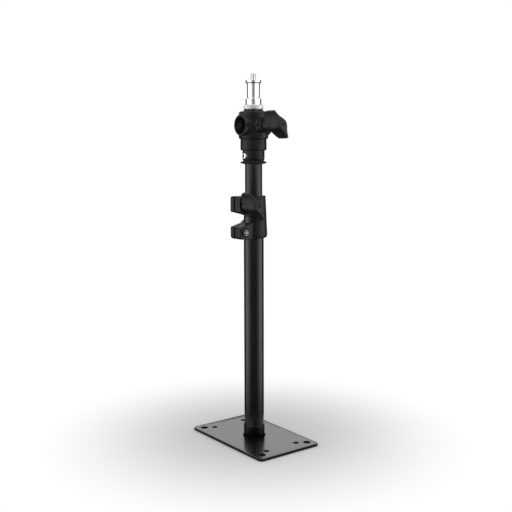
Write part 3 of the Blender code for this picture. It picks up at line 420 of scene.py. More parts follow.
def node(tree, kind, inputs=(), **settings):
    made = tree.nodes.new("ShaderNode" + kind)
    for key, value in settings.items():
        setattr(made, key, value)
    set_inputs(tree, made, dict(inputs))
    return made


def grain(tree, scale, detail=2.0, stretch=None):
    """A noise over the surface, its scale in waves to the metre, stretched along axes if asked."""
    place = node(tree, "TexCoord").outputs["Object"]
    if stretch:
        place = node(tree, "Mapping", {"Vector": place, "Scale": stretch}).outputs["Vector"]
    return node(tree, "TexNoise", {"Vector": place, "Scale": scale, "Detail": detail}).outputs["Fac"]


def ranged(tree, value, low, high, out_low, out_high, smooth=False):
    kind = 'SMOOTHSTEP' if smooth else 'LINEAR'
    made = node(tree, "MapRange", {
        "Value": value, "From Min": low, "From Max": high, "To Min": out_low, "To Max": out_high,
    }, interpolation_type=kind)
    return made.outputs["Result"]


def blended(tree, share, first, second):
    """A mix of two colours, each three numbers or the socket that gives it."""
    first, second = [tone if isinstance(tone, bpy.types.NodeSocket) else (*tone, 1.0)
                     for tone in (first, second)]
    return node(tree, "Mix", {0: share, 6: first, 7: second}, data_type='RGBA').outputs[2]


def bumped(tree, height, distance, strength, before=None):
    inputs = {"Height": height, "Distance": distance, "Strength": strength}
    if before:
        inputs["Normal"] = before
    return node(tree, "Bump", inputs).outputs["Normal"]


def principled(name):
    material = bpy.data.materials.new(name)
    material.use_nodes = True
    return material, material.node_tree, material.node_tree.nodes["Principled BSDF"]


def scaled(tree, value, factor):
    return node(tree, "Math", {0: value, 1: factor}, operation='MULTIPLY').outputs[0]


def shine_on_top(tree):
    """One on faces that look up, little on cut edges and in holes: the lost gloss there is painted shade on
    the plate's edges and hole walls.
    """
    up = node(tree, "SeparateXYZ", {0: node(tree, "TexCoord").outputs["Normal"]}).outputs["Z"]
    return ranged(tree, up, 0.3, 0.9, 0.14, 1.0, True)


def shade_near_plate(tree):
    """Painted contact shade as a share of the gloss: next to nothing where the foot meets the plate, and
    more towards the ferrule's top.
    """
    low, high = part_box("foot_ferrule")
    height = node(tree, "SeparateXYZ", {0: node(tree, "TexCoord").outputs["Object"]}).outputs["Z"]
    return ranged(tree, height, low.z, high.z, 0.03, 0.6, True)


def coated_metal(name, slot, dark, light, rough, peel, coat, shine=None):
    """Black coat on metal: faint orange peel, uneven tone and gloss. shine gives a share of the gloss."""
    material, tree, shader = principled(name)
    tone = blended(tree, ranged(tree, grain(tree, 25, 3), 0.35, 0.65, 0.0, 1.0), dark, light)
    gloss = ranged(tree, grain(tree, 120, 3), 0.3, 0.7, rough[0], rough[1])
    normal = bumped(tree, grain(tree, 900, 1.5), peel, 0.35)
    normal = bumped(tree, grain(tree, 4200, 1.0), peel / 4, 0.25, normal)
    set_inputs(tree, shader, {
        "Base Color": tone, "Roughness": gloss, "Normal": normal, "IOR": 1.5,
        "Coat Weight": coat, "Coat Roughness": 0.2,
    })
    if shine:
        share = shine(tree)
        set_inputs(tree, shader, {"Specular IOR Level": scaled(tree, share, 0.5)})
        if coat:
            set_inputs(tree, shader, {"Coat Weight": scaled(tree, share, coat)})
    return material, slot


def moulded(name, slot, dark, light, rough, texture, edge, shine):
    """Moulded plastic, rubber or a coated casting: fine spark-eroded grain, and paler convex edges that
    paint on edge highlights.
    """
    material, tree, shader = principled(name)
    tone = blended(tree, ranged(tree, grain(tree, 40, 4), 0.35, 0.65, 0.0, 1.0), dark, light)
    # Painted highlight: convex edges take the paler edge colour, in random patches.
    convex = node(tree, "NewGeometry").outputs["Pointiness"]
    edge_highlight = ranged(tree, convex, 0.52, 0.58, 0.0, 1.0, True)
    edge_highlight = scaled(tree, edge_highlight, ranged(tree, grain(tree, 300, 3), 0.35, 0.6, 0.25, 1.0))
    tone = blended(tree, edge_highlight, tone, edge)
    gloss = ranged(tree, grain(tree, 260, 3), 0.3, 0.7, rough[0], rough[1])
    normal = bumped(tree, grain(tree, 2600, 2.0), texture, 0.5)
    normal = bumped(tree, grain(tree, 600, 2.0), texture * 1.5, 0.25, normal)
    set_inputs(tree, shader, {
        "Base Color": tone, "Roughness": gloss, "Normal": normal, "IOR": 1.5, "Specular IOR Level": shine,
    })
    return material, slot


def bare_metal(name, slot, dark, light, rough, marks, stretch, shade_reach=0.0):
    """Plated or turned metal: tool marks, duller patches, and painted shade that darkens recesses if
    shade_reach gives its reach.
    """
    material, tree, shader = principled(name)
    tone = blended(tree, ranged(tree, grain(tree, 90, 3), 0.3, 0.7, 0.0, 1.0), dark, light)
    # Painted shade: the colour falls to black where ambient occlusion finds a recess.
    if shade_reach:
        open_share = node(tree, "AmbientOcclusion", {"Distance": shade_reach}, samples=8, only_local=True)
        kept = ranged(tree, open_share.outputs["AO"], 0.25, 0.8, 0.03, 1.0, True)
        tone = blended(tree, kept, (0, 0, 0), tone)
    lines = grain(tree, 40, 2.0, stretch)
    patches = grain(tree, 180, 4)
    gloss = ranged(tree, scaled(tree, lines, patches), 0.1, 0.4, rough[0], rough[1])
    normal = bumped(tree, lines, marks, 0.3)
    set_inputs(tree, shader, {
        "Base Color": tone, "Roughness": gloss, "Normal": normal, "Metallic": 1.0,
    })
    return material, slot


PAINT = coated_metal("satin_black_coat", "black_paint", (0.0045, 0.0045, 0.0048), (0.0075, 0.0075, 0.0078),
                     (0.20, 0.27), 0.02 * MM, 0.0)
# The plate's gloss and coat fall away on its cut edges and hole walls: painted shade.
PLATE_PAINT = coated_metal("gloss_black_coat", "black_paint", (0.004, 0.004, 0.0043), (0.007, 0.007, 0.0074),
                           (0.23, 0.3), 0.012 * MM, 1.0, shine_on_top)
# The ferrule and weld get a darker tone and a gloss that fades towards the plate: painted contact shade.
SHADED_FOOT_PAINT = coated_metal("satin_black_foot_painted_shade", "black_paint", (0.0012, 0.0012, 0.0012), (0.002, 0.002, 0.002),
                          (0.24, 0.31), 0.02 * MM, 0.0, shade_near_plate)
PLASTIC = moulded("grained_black_plastic", "black_plastic", (0.0055, 0.0055, 0.0058), (0.009, 0.009, 0.0094),
                  (0.36, 0.46), 0.03 * MM, (0.024, 0.024, 0.025), 0.27)
CASTING = moulded("coated_casting", "black_casting", (0.0045, 0.0045, 0.0048), (0.008, 0.008, 0.0083),
                  (0.35, 0.45), 0.025 * MM, (0.022, 0.022, 0.023), 0.3)
RUBBER = moulded("matt_rubber", "black_rubber", (0.006, 0.006, 0.006), (0.01, 0.01, 0.01),
                 (0.6, 0.72), 0.02 * MM, (0.02, 0.02, 0.02), 0.3)
CHROME = bare_metal("chrome_plate", "chrome", (0.80, 0.80, 0.81), (0.86, 0.86, 0.87), (0.05, 0.13),
                    0.003 * MM, (0.2, 0.2, 90))
KNURL_CHROME = bare_metal("knurled_chrome", "chrome", (0.84, 0.84, 0.85), (0.9, 0.9, 0.91), (0.26, 0.36),
                          0.003 * MM, (0.2, 0.2, 90))
# The last number of ZINC and DULL_ZINC is the reach of their painted shade in recesses.
ZINC = bare_metal("bright_zinc", "zinc_steel", (0.66, 0.66, 0.64), (0.8, 0.8, 0.78), (0.2, 0.32),
                  0.006 * MM, (8, 8, 8), 4 * MM)
DULL_ZINC = bare_metal("dull_zinc", "zinc_steel", (0.2, 0.2, 0.19), (0.32, 0.32, 0.31), (0.35, 0.5),
                       0.006 * MM, (8, 8, 8), 2 * MM)
DARK_STEEL = bare_metal("turned_steel", "dark_steel", (0.18, 0.18, 0.18), (0.26, 0.26, 0.26), (0.35, 0.5),
                        0.01 * MM, (0.3, 0.3, 60))
BLACK_OXIDE = bare_metal("black_oxide", "dark_steel", (0.018, 0.018, 0.018), (0.03, 0.03, 0.03), (0.3, 0.42),
                         0.008 * MM, (8, 8, 8))
BRASS = bare_metal("turned_brass", "brass", (0.66, 0.47, 0.18), (0.76, 0.57, 0.26), (0.22, 0.38),
                   0.008 * MM, (0.3, 0.3, 60))


def dress(obj, finish):
    """Give a piece the material of its finish. The finish's slot is not used here."""
    material, slot = finish
    obj.data.materials.clear()
    obj.data.materials.append(material)


def finish_piece(obj, body, finish, *nodes):
    """Put a piece on its body with its finish, and hide the CAD nodes that it stands for."""
    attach(obj, body)
    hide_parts(*nodes)
    dress(obj, finish)


def round_piece(name, node_name, body, finish, corners):
    """A turned piece about the mast's axis that stands for one CAD node."""
    finish_piece(make_object(name, turned(filleted(corners))), body, finish, node_name)


def plate_hole(radius, low, high):
    """A tool for a hole with a small chamfer at both faces of the plate."""
    lip = radius + HOLE_LIP
    return turned([
        (0, low - PLATE_EDGE), (lip + PLATE_EDGE, low - PLATE_EDGE), (lip, low),
        (radius, low + HOLE_LIP), (radius, high - HOLE_LIP), (lip, high),
        (lip + PLATE_EDGE, high + PLATE_EDGE), (0, high + PLATE_EDGE),
    ], SMALL_SEGMENTS)


def make_plate():
    low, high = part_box("base_plate")
    half_x, half_y = high.x, high.y
    outline = filleted([(-half_x, -half_y, PLATE_CORNER), (half_x, -half_y, PLATE_CORNER),
                        (half_x, half_y, PLATE_CORNER), (-half_x, half_y, PLATE_CORNER)], 12)
    plate = make_object("plate", prism(outline, low.z, high.z, PLATE_EDGE, 4), sharp=30)
    for radius, inset_x, inset_y in (LARGE_HOLE, SMALL_HOLE):
        for side_x in (-1, 1):
            for side_y in (-1, 1):
                place = (side_x * (half_x - inset_x), side_y * (half_y - inset_y), 0)
                cut(plate, plate_hole(radius, low.z, high.z), Matrix.Translation(place))
    cut(plate, turned([
        (0, -PLATE_EDGE), (FOOT_SCREW_SEAT, -PLATE_EDGE), (FOOT_SCREW_SEAT, FOOT_SCREW_RIM),
        (FOOT_SCREW_FIT, high.z), (FOOT_SCREW_FIT, high.z + OVERSHOOT), (0, high.z + OVERSHOOT),
    ], SMALL_SEGMENTS))
    settle(plate, 30)
    finish_piece(plate, "stand", PLATE_PAINT, "base_plate")


def make_foot():
    low, high, radius = extent("foot_ferrule")
    bore = radius - FERRULE_WALL
    round_piece("ferrule", "foot_ferrule", "stand", SHADED_FOOT_PAINT, [
        (bore, low, 0), (radius, low, 0), (radius, high - 0.9 * MM, 0.5 * MM),
        (bore + 0.3 * MM, high, 0.2 * MM), (bore, high, 0),
    ])
    weld_low, weld_high, weld_radius = extent("foot_weld")
    leg = weld_high - weld_low
    inner = weld_radius - leg
    steps = 6 * WELD_RIPPLES
    sections = []
    for index in range(steps):
        angle = TAU * index / steps
        ripple = math.sin(WELD_RIPPLES * angle) + 0.5 * math.sin(WELD_WAVES * angle + 1.0)
        swell = WELD_RIPPLE_HEIGHT * ripple
        row = []
        for reach, rise in WELD_SECTION:
            distance = inner + leg * reach * WELD_FILL + (swell if 0 < rise < WELD_FILL else 0.0)
            height = weld_low + leg * rise + (swell if rise > 0 else 0.0)
            row.append((distance * math.cos(angle), distance * math.sin(angle), height))
        sections.append(row)
    bead = make_object("weld_bead", skin(sections + sections[:1]), sharp=60)
    finish_piece(bead, "stand", SHADED_FOOT_PAINT, "foot_weld")


def make_tubes():
    low, high, radius = extent("outer_tube")
    bore = radius - TUBE_WALL
    round_piece("lower_tube", "outer_tube", "stand", PAINT, [
        (bore, low, 0), (radius, low, 0), (radius, high, TUBE_EDGE), (bore, high, TUBE_EDGE),
    ])
    low, high, radius = extent("mast_tube")
    bore = radius - MAST_WALL
    mast = make_object("upper_tube", turned(filleted([
        (bore, low, TUBE_EDGE), (radius, low, TUBE_EDGE), (radius, high, TUBE_EDGE), (bore, high, TUBE_EDGE),
    ])))
    cut(mast, rod(SCREW_FIT, 0, 2 * radius), neck_screw_frame())
    settle(mast)
    finish_piece(mast, "mast", PAINT, "mast_tube")


def make_neck():
    """Stop ring, cup and band. They meet without a gap, as the photo shows no daylight there."""
    low, high, rim = extent("stop_disk")
    cup_low, _, cup_radius = extent("neck_socket")
    band_low, _, band_radius = extent("neck_ring")
    head_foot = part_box("head_body")[0].z + HEAD_STEM
    hub = MAST_FIT + STOP_HUB_WALL
    rim_height = low + STOP_RIM_SHARE * (high - low)
    shoulder = low + STOP_SHOULDER_SHARE * (high - low)
    round_piece("stop_ring", "stop_disk", "mast", RUBBER, [
        (MAST_FIT, low, 0), (hub, low, 0.3 * MM), (rim, rim_height - STOP_HALF_RIM, 0.6 * MM),
        (rim, rim_height + STOP_HALF_RIM, 0.6 * MM), (hub + 0.4 * MM, shoulder, 0.9 * MM),
        (hub - 0.9 * MM, cup_low, 0.3 * MM), (MAST_FIT, cup_low, 0),
    ])

    cup = make_object("neck_cup", turned(filleted([
        (MAST_FIT, cup_low, 0), (cup_radius, cup_low, 1.8 * MM), (cup_radius, band_low, 0.4 * MM),
        (MAST_FIT, band_low, 0),
    ])))
    seat = cup_radius - NECK_SEAT_DEPTH
    cut(cup, turned([
        (0, 0), (SCREW_FIT, 0), (SCREW_FIT, seat), (NECK_SEAT_RADIUS, seat),
        (NECK_SEAT_RADIUS, 2 * cup_radius), (0, 2 * cup_radius),
    ], SMALL_SEGMENTS), neck_screw_frame())
    settle(cup)
    finish_piece(cup, "mast", PLASTIC, "neck_socket")

    round_piece("neck_band", "neck_ring", "mast", PLASTIC, [
        (MAST_FIT, band_low, 0), (band_radius, band_low, 1.9 * MM), (band_radius, head_foot, 0.8 * MM),
        (MAST_FIT, head_foot, 0),
    ])


def make_neck_screw():
    low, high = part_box("neck_screw")
    tip, top = -high.y, -low.y
    seat = top - NECK_SCREW_HEIGHT
    rim = seat + NECK_SCREW_RIM
    tip_chamfer = 0.5 * MM
    dome = []
    for step in range(8):
        angle = math.radians(90) * step / 8
        dome.append((NECK_SCREW_HEAD * math.cos(angle) ** DOME_SIDE_POWER,
                     rim + (top - rim) * math.sin(angle) ** DOME_TOP_POWER))
    screw = make_object("button_screw", turned([
        (0, tip), (SCREW_RADIUS - tip_chamfer, tip), (SCREW_RADIUS, tip + tip_chamfer),
        (SCREW_RADIUS, seat), (NECK_SCREW_HEAD, seat), *dome, (0, top),
    ], SMALL_SEGMENTS), neck_screw_frame())
    key = prism(hexagon(NECK_SCREW_KEY), top - NECK_SCREW_KEY_DEPTH, top + OVERSHOOT)
    cut(screw, key, neck_screw_frame(NECK_SCREW_SPIN))
    settle(screw, 35)
    finish_piece(screw, "mast", ZINC, "neck_screw")


def rod_distance(points, axis, centre, radius, low, high, edge):
    """Signed distance of each point to a rod along one axis whose ends have a rounded edge."""
    across = [side for side in range(3) if side != axis]
    reach = numpy.hypot(points[:, across[0]] - centre[0], points[:, across[1]] - centre[1]) - radius + edge
    past = numpy.abs(points[:, axis] - (low + high) / 2) - (high - low) / 2 + edge
    outside = numpy.hypot(numpy.maximum(reach, 0), numpy.maximum(past, 0))
    return outside + numpy.minimum(numpy.maximum(reach, past), 0) - edge


def blend_lower(first, second, blend):
    """The lower of two distances, with a fillet where they meet."""
    share = numpy.clip(0.5 + 0.5 * (second - first) / blend, 0, 1)
    return second + (first - second) * share - blend * share * (1 - share)


def fit_to_surface(obj, distance, rounds=6):
    """Move each vertex along the distance's slope onto the surface where it is zero."""
    count = len(obj.data.vertices)
    points = numpy.empty(3 * count)
    obj.data.vertices.foreach_get("co", points)
    points = points.reshape(count, 3)
    probe = 0.01 * MM
    for _ in range(rounds):
        slope = numpy.empty_like(points)
        for axis in range(3):
            offset = numpy.zeros(3)
            offset[axis] = probe
            slope[:, axis] = (distance(points + offset) - distance(points - offset)) / (2 * probe)
        steepness = numpy.maximum((slope ** 2).sum(axis=1), 0.25)
        points -= slope * (distance(points) / steepness)[:, None]
    obj.data.vertices.foreach_set("co", points.ravel())
    obj.data.update()


def make_head():
    """The casting: a drum with a crown, the side socket's barrel and the knob's boss, then its bores."""
    box_low, box_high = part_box("head_body")
    top = box_high.z - HEAD_CROWN
    foot = box_low.z + HEAD_STEM
    axis_z = (foot + top) / 2
    face, knob_face = box_high.y, box_high.x
    place = (0, 0, axis_z)
    root = HEAD_RADIUS / 2

    def distance(points):
        drum = numpy.hypot(points[:, 0], points[:, 1]) - HEAD_RADIUS
        barrel = rod_distance(points, 1, (0, axis_z), SOCKET_BOSS_RADIUS, -face, face, SOCKET_BOSS_EDGE)
        boss = rod_distance(points, 0, (0, axis_z), KNOB_BOSS_RADIUS, root, knob_face, KNOB_BOSS_EDGE)
        whole = blend_lower(blend_lower(drum, barrel, SOCKET_BOSS_BLEND), boss, KNOB_BOSS_BLEND)
        slab = numpy.abs(points[:, 2] - axis_z) - (top - foot) / 2
        whole = -blend_lower(-whole, -slab, HEAD_EDGE_BLEND)
        crown = rod_distance(points, 2, (0, 0), CROWN_RADIUS, axis_z, top + HEAD_CROWN, CROWN_EDGE)
        stem = rod_distance(points, 2, (0, 0), STEM_RADIUS, box_low.z, axis_z, STEM_EDGE)
        return numpy.minimum(blend_lower(whole, crown, CROWN_BLEND), stem)

    body = cast("head_casting", [
        (rod(HEAD_RADIUS, foot, top, ROUND_SEGMENTS), Matrix.Identity(4)),
        (rod(CROWN_RADIUS, axis_z, top + HEAD_CROWN, ROUND_SEGMENTS), Matrix.Identity(4)),
        (rod(STEM_RADIUS, box_low.z, axis_z, ROUND_SEGMENTS), Matrix.Identity(4)),
        (rod(SOCKET_BOSS_RADIUS, -face, face, ROUND_SEGMENTS), frame_along('-Y', place)),
        (rod(KNOB_BOSS_RADIUS, root, knob_face, ROUND_SEGMENTS), frame_along('X', place)),
    ], CAST_VOXEL, 6)
    fit_to_surface(body, distance)
    cut(body, rod(SOCKET_BORE, foot + SOCKET_FLOOR_THICKNESS, top + OVERSHOOT, ROUND_SEGMENTS))
    mouth = SIDE_SOCKET_BORE + SOCKET_MOUTH
    through = turned([
        (0, -2 * face), (mouth, -2 * face), (mouth, -face), (SIDE_SOCKET_BORE, SOCKET_MOUTH - face),
        (SIDE_SOCKET_BORE, face - SOCKET_MOUTH), (mouth, face), (mouth, 2 * face), (0, 2 * face),
    ], ROUND_SEGMENTS)
    cut(body, through, frame_along('-Y', place))
    recess = knob_face - KNOB_RECESS_DEPTH
    insert = recess - KNOB_INSERT_DEPTH
    knob_bore = turned([
        (0, SOCKET_BORE / 2), (KNOB_BOLT_FIT, SOCKET_BORE / 2), (KNOB_BOLT_FIT, insert),
        (KNOB_INSERT_BORE, insert), (KNOB_INSERT_BORE, recess), (KNOB_RECESS_RADIUS, recess),
        (KNOB_RECESS_RADIUS, 2 * knob_face), (0, 2 * knob_face),
    ], SMALL_SEGMENTS)
    cut(body, knob_bore, frame_along('X', place))
    hole_end = STEM_RADIUS - NECK_SCREW_BITE - SEAT_GAP
    cut(body, rod(SCREW_FIT, hole_end, 2 * STEM_RADIUS), neck_screw_frame())
    settle(body)
    finish_piece(body, "mast", CASTING, "head_body")


def knob_blade(hub_length, stations=56, steps=5):
    """The knob's two wings: span along X, thickness along Y, depth along Z."""
    sections = []
    for station in range(stations + 1):
        span = -math.cos(math.pi * station / stations)
        reach = abs(span)
        bell = (0.5 + 0.5 * math.cos(math.pi * reach)) ** KNOB_WIDTH_POWER
        half = KNOB_TIP_HALF_WIDTH + (KNOB_MIDDLE_HALF_WIDTH - KNOB_TIP_HALF_WIDTH) * bell
        back = hub_length + KNOB_EDGE_ROUND + KNOB_BACK_SWEEP * reach ** KNOB_BACK_POWER
        front = hub_length + KNOB_DEPTH - KNOB_TIP_SETBACK * reach ** KNOB_TIP_POWER
        outline = filleted([(half, front, KNOB_EDGE_ROUND), (-half, front, KNOB_EDGE_ROUND),
                            (-half, back, KNOB_EDGE_ROUND), (half, back, KNOB_EDGE_ROUND)], steps)
        sections.append([(span * KNOB_HALF_SPAN, y, z) for y, z in outline])
    return skin(sections, capped=True)


def make_knob(name, node_name, hub_length):
    """A winged knob along +X, on the body of the same name. Its back is at the low end of its node's box."""
    place = (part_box(node_name)[0].x, middle(node_name, 1), middle(node_name, 2))
    total = hub_length + KNOB_DEPTH
    hub_top = total - 2 * KNOB_EDGE_ROUND
    matrix = frame_along('knob', place, KNOB_TILT)
    hub = turned([
        (0, 0), (KNOB_HUB_RADIUS - KNOB_EDGE_ROUND, 0), (KNOB_HUB_RADIUS, KNOB_EDGE_ROUND),
        (KNOB_HUB_RADIUS, hub_length + KNOB_HUB_SHOULDER), (KNOB_HUB_TOP_RADIUS, hub_top), (0, hub_top),
    ])
    knob = cast(name, [(hub, matrix), (knob_blade(hub_length), matrix)], KNOB_VOXEL, 4)
    cut(knob, rod(KNOB_INSERT_BORE, -OVERSHOOT, KNOB_BORE_DEPTH), matrix)
    cut(knob, rod(KNOB_DIMPLE_RADIUS, total - KNOB_DIMPLE_DEPTH, total + OVERSHOOT), matrix)
    settle(knob)
    finish_piece(knob, name, PLASTIC, node_name)


def make_collar():
    """The clamp collar: sleeve and ears, bores, slit, the notch between the ears and its pockets."""
    low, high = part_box("collar_body")
    foot, top, tip = low.z, high.z, low.y
    tube_top = foot + COLLAR_GRIP
    collar = make_object("clamp_collar", turned(filleted([
        (0, foot, 0), (COLLAR_RADIUS, foot, 5.5 * MM), (COLLAR_TOP_RADIUS, top, 1.3 * MM), (0, top, 0),
    ], 8)))
    ear_root = -COLLAR_BORE / 2
    ears = prism(filleted([
        (ear_root, foot, 0), (ear_root, top, 0), (tip, top, 3.5 * MM), (tip, foot, 6 * MM),
    ], 8), EAR_FAR_FACE, EAR_NEAR_FACE, EAR_EDGE, 4)
    join(collar, ears, frame_along('X'))
    below, above, mouth = foot - OVERSHOOT, top + OVERSHOOT, tip - OVERSHOOT
    cut(collar, turned([
        (0, below), (COLLAR_BORE, below), (COLLAR_BORE, tube_top),
        (COLLAR_TOP_BORE, tube_top + SEAT_GAP), (COLLAR_TOP_BORE, above), (0, above),
    ]))
    cut(collar, box((-SLIT_HALF, mouth, below), (SLIT_HALF, ear_root, above)))

    apex_low = tube_top - NOTCH_DROP - NOTCH_HALF_APEX
    apex_high = apex_low + 2 * NOTCH_HALF_APEX
    low_edge, high_edge = apex_low - NOTCH_BELOW, apex_high + NOTCH_ABOVE
    notch = filleted([
        (mouth, low_edge - OVERSHOOT, 0), (tip, low_edge - OVERSHOOT, 0),
        (tip, low_edge, NOTCH_MOUTH_ROUND), (NOTCH_PAST_AXIS, apex_low, 1.0 * MM),
        (NOTCH_PAST_AXIS, apex_high, 1.0 * MM), (tip, high_edge, NOTCH_MOUTH_ROUND),
        (tip, high_edge + OVERSHOOT, 0), (mouth, high_edge + OVERSHOOT, 0),
    ])
    far, near = -2 * COLLAR_RADIUS, 2 * COLLAR_RADIUS
    cut(collar, prism(notch, far, near), frame_along('X'))

    low_bolt, high_bolt = bolt_frame("collar_bolt"), bolt_frame("knob_bolt")
    cut(collar, rod(SCREW_FIT, far, near), low_bolt)
    cut(collar, rod(NUT_POCKET_RADIUS, EAR_NEAR_FACE - NUT_POCKET_DEPTH, near), low_bolt)
    cut(collar, rod(SCREW_POCKET_RADIUS, far, EAR_FAR_FACE + SCREW_POCKET_DEPTH), low_bolt)
    cut(collar, rod(KNOB_BOLT_FIT, far, near), high_bolt)
    cut(collar, prism(hexagon(BOLT_POCKET_FLATS), far, EAR_FAR_FACE + BOLT_POCKET_DEPTH), high_bolt)
    settle(collar)
    soften(collar, COLLAR_VOXEL, 3)
    finish_piece(collar, "stand", PLASTIC, "collar_body")


def threaded_rod(radius, low, high, pitch, depth, chamfer, thread_low, thread_high, segments=48):
    """A rod along Z with a helical V thread that runs out at both of its ends."""
    per_turn = 12
    rows = int((high - low) / pitch * per_turn)
    sections = []
    for row in range(rows + 1):
        height = low + (high - low) * row / rows
        inset = max(0.0, chamfer - (height - low), chamfer - (high - height))
        fade = smoothstep(height, thread_low, thread_low + pitch)
        fade *= 1 - smoothstep(height, thread_high - pitch / 2, thread_high)
        section = []
        for index in range(segments):
            turn = index / segments
            phase = (height / pitch - turn) % 1.0
            groove = max(0.0, THREAD_TOP - THREAD_FLANK * abs(2 * phase - 1))
            reach = min(radius - depth * groove * fade, radius - inset)
            section.append((reach * math.cos(TAU * turn), reach * math.sin(TAU * turn), height))
        sections.append(section)
    return skin(sections, capped=True)


def make_clamp_screw():
    place = bolt_frame("collar_bolt")
    low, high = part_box("collar_bolt")
    head_top = low.x + CLAMP_SCREW_HEIGHT
    screw = make_object("clamp_screw", turned(filleted([
        (0, low.x, 0), (CLAMP_SCREW_HEAD, low.x, 0.6 * MM), (CLAMP_SCREW_HEAD, head_top, 0.3 * MM),
        (0, head_top, 0),
    ]), SMALL_SEGMENTS), place)
    shank = threaded_rod(SCREW_RADIUS, head_top - SCREW_PITCH, high.x, SCREW_PITCH, SCREW_THREAD_DEPTH,
                         0.6 * MM, head_top + CLAMP_SCREW_PLAIN, high.x + SCREW_PITCH)
    join(screw, shank, place)
    key = prism(hexagon(CLAMP_SCREW_KEY), low.x - OVERSHOOT, low.x + CLAMP_SCREW_HEIGHT / 2)
    cut(screw, key, place)
    settle(screw, 35)
    finish_piece(screw, "stand", DULL_ZINC, "collar_bolt")


def make_clamp_nut():
    place = bolt_frame("collar_bolt")
    low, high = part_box("collar_nut")
    half_flats = CLAMP_NUT_FLATS / 2
    corner = CLAMP_NUT_FLATS / math.sqrt(3)
    below, above = low.x - OVERSHOOT, high.x + OVERSHOOT
    nut = make_object("clamp_nut", prism(hexagon(CLAMP_NUT_FLATS), low.x, high.x), place)
    crown = turned([
        (0, below), (corner, below), (corner, high.x - (corner - half_flats) * 0.6),
        (half_flats - 0.1 * MM, high.x), (0, high.x),
    ], SMALL_SEGMENTS)
    combine(nut, crown, 'INTERSECT', place)
    chamfer = SCREW_FIT + 0.5 * MM
    cut(nut, turned([
        (0, below), (SCREW_FIT, below), (SCREW_FIT, high.x - 0.4 * MM), (chamfer, high.x + 0.1 * MM),
        (chamfer, above), (0, above),
    ], SMALL_SEGMENTS), place)
    settle(nut, 30)
    finish_piece(nut, "stand", DARK_STEEL, "collar_nut")


def make_knob_bolt():
    place = bolt_frame("knob_bolt")
    low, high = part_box("knob_bolt")
    corner = KNOB_BOLT_FLATS / math.sqrt(3)
    head_top = low.x + KNOB_BOLT_HEIGHT
    bolt = make_object("clamp_bolt", prism(hexagon(KNOB_BOLT_FLATS), low.x, head_top), place)
    crown = turned([
        (0, low.x), (KNOB_BOLT_FLATS / 2 - 0.1 * MM, low.x), (corner, low.x + 0.7 * MM),
        (corner, head_top + OVERSHOOT), (0, head_top + OVERSHOOT),
    ], SMALL_SEGMENTS)
    combine(bolt, crown, 'INTERSECT', place)
    shank = threaded_rod(KNOB_BOLT_RADIUS, low.x + KNOB_BOLT_HEIGHT / 2, high.x, KNOB_BOLT_PITCH,
                         KNOB_BOLT_THREAD_DEPTH, 1 * MM, low.x + KNOB_BOLT_PLAIN, high.x + 1 * MM)
    join(bolt, shank, place)
    settle(bolt, 30)
    finish_piece(bolt, "stand", DULL_ZINC, "knob_bolt")


def make_knob_washer():
    place = bolt_frame("knob_bolt")
    low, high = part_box("collar_knob_washer")
    washer = make_object("knob_washer", turned(filleted([
        (KNOB_BOLT_FIT, low.x, 0), (WASHER_RADIUS, low.x, 0.4 * MM), (WASHER_RADIUS, high.x, 0.4 * MM),
        (KNOB_BOLT_FIT, high.x, 0),
    ])), place)
    finish_piece(washer, "collar_washer", BLACK_OXIDE, "collar_knob_washer")


def make_bush():
    low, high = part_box("guide_bush")
    tube_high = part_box("outer_tube")[1]
    sleeve = tube_high.x - TUBE_WALL - SEAT_GAP
    flange = high.x
    shoulder = tube_high.z + SEAT_GAP
    bush = make_object("mast_bush", turned(filleted([
        (MAST_FIT, low.z, 0.2 * MM), (sleeve, low.z, 0.2 * MM), (sleeve, shoulder, 0),
        (flange, shoulder, 0.3 * MM), (flange, high.z, 0.4 * MM), (MAST_FIT, high.z, 0.3 * MM),
    ])))
    slot_low, slot_high = shoulder + BUSH_SLOT_START, high.z + OVERSHOOT
    for half_x, half_y in ((2 * flange, BUSH_SLOT_HALF), (BUSH_SLOT_HALF, 2 * flange)):
        cut(bush, box((-half_x, -half_y, slot_low), (half_x, half_y, slot_high)))
    settle(bush)
    finish_piece(bush, "stand", PLASTIC, "guide_bush")


def make_seal():
    low, high, _ = extent("spigot_washer")
    rim = SOCKET_BORE + SEAL_WALL
    round_piece("spigot_seal", "spigot_washer", "spigot_seat", RUBBER, [
        (SOCKET_BORE, low, 0), (rim, low, 0.4 * MM), (rim, high, 0.4 * MM), (SOCKET_BORE, high, 0),
    ])


def make_knurled_ring():
    """A ring with a crossed knurl: two sets of V grooves that lean opposite ways."""
    low, high, radius = extent("knurled_ring")
    rows, columns = 28, KNURL_TEETH * 6
    turns = [(math.cos(TAU * index / columns), math.sin(TAU * index / columns)) for index in range(columns)]
    sections = []
    for row in range(rows + 1):
        height = low + (high - low) * row / rows
        inset = max(0.0, KNURL_CHAMFER - (height - low), KNURL_CHAMFER - (high - height))
        lean = (height - low) / KNURL_LEAD
        section = []
        for index, (across, along) in enumerate(turns):
            tooth = KNURL_TEETH * index / columns
            off_left, off_right = [abs(2 * ((tooth + shift) % 1.0) - 1) for shift in (lean, -lean)]
            groove = max(0.0, 1 - KNURL_SHARPNESS * min(off_left, off_right))
            reach = min(radius - KNURL_DEPTH * groove, radius - inset)
            section.append((reach * across, reach * along, height))
        sections.append(section)
    for height in (high, low):
        sections.append([(SOCKET_BORE * across, SOCKET_BORE * along, height) for across, along in turns])
    ring = make_object("knurl_collar", skin(sections + sections[:1]), sharp=35)
    finish_piece(ring, "spigot", KNURL_CHROME, "knurled_ring")


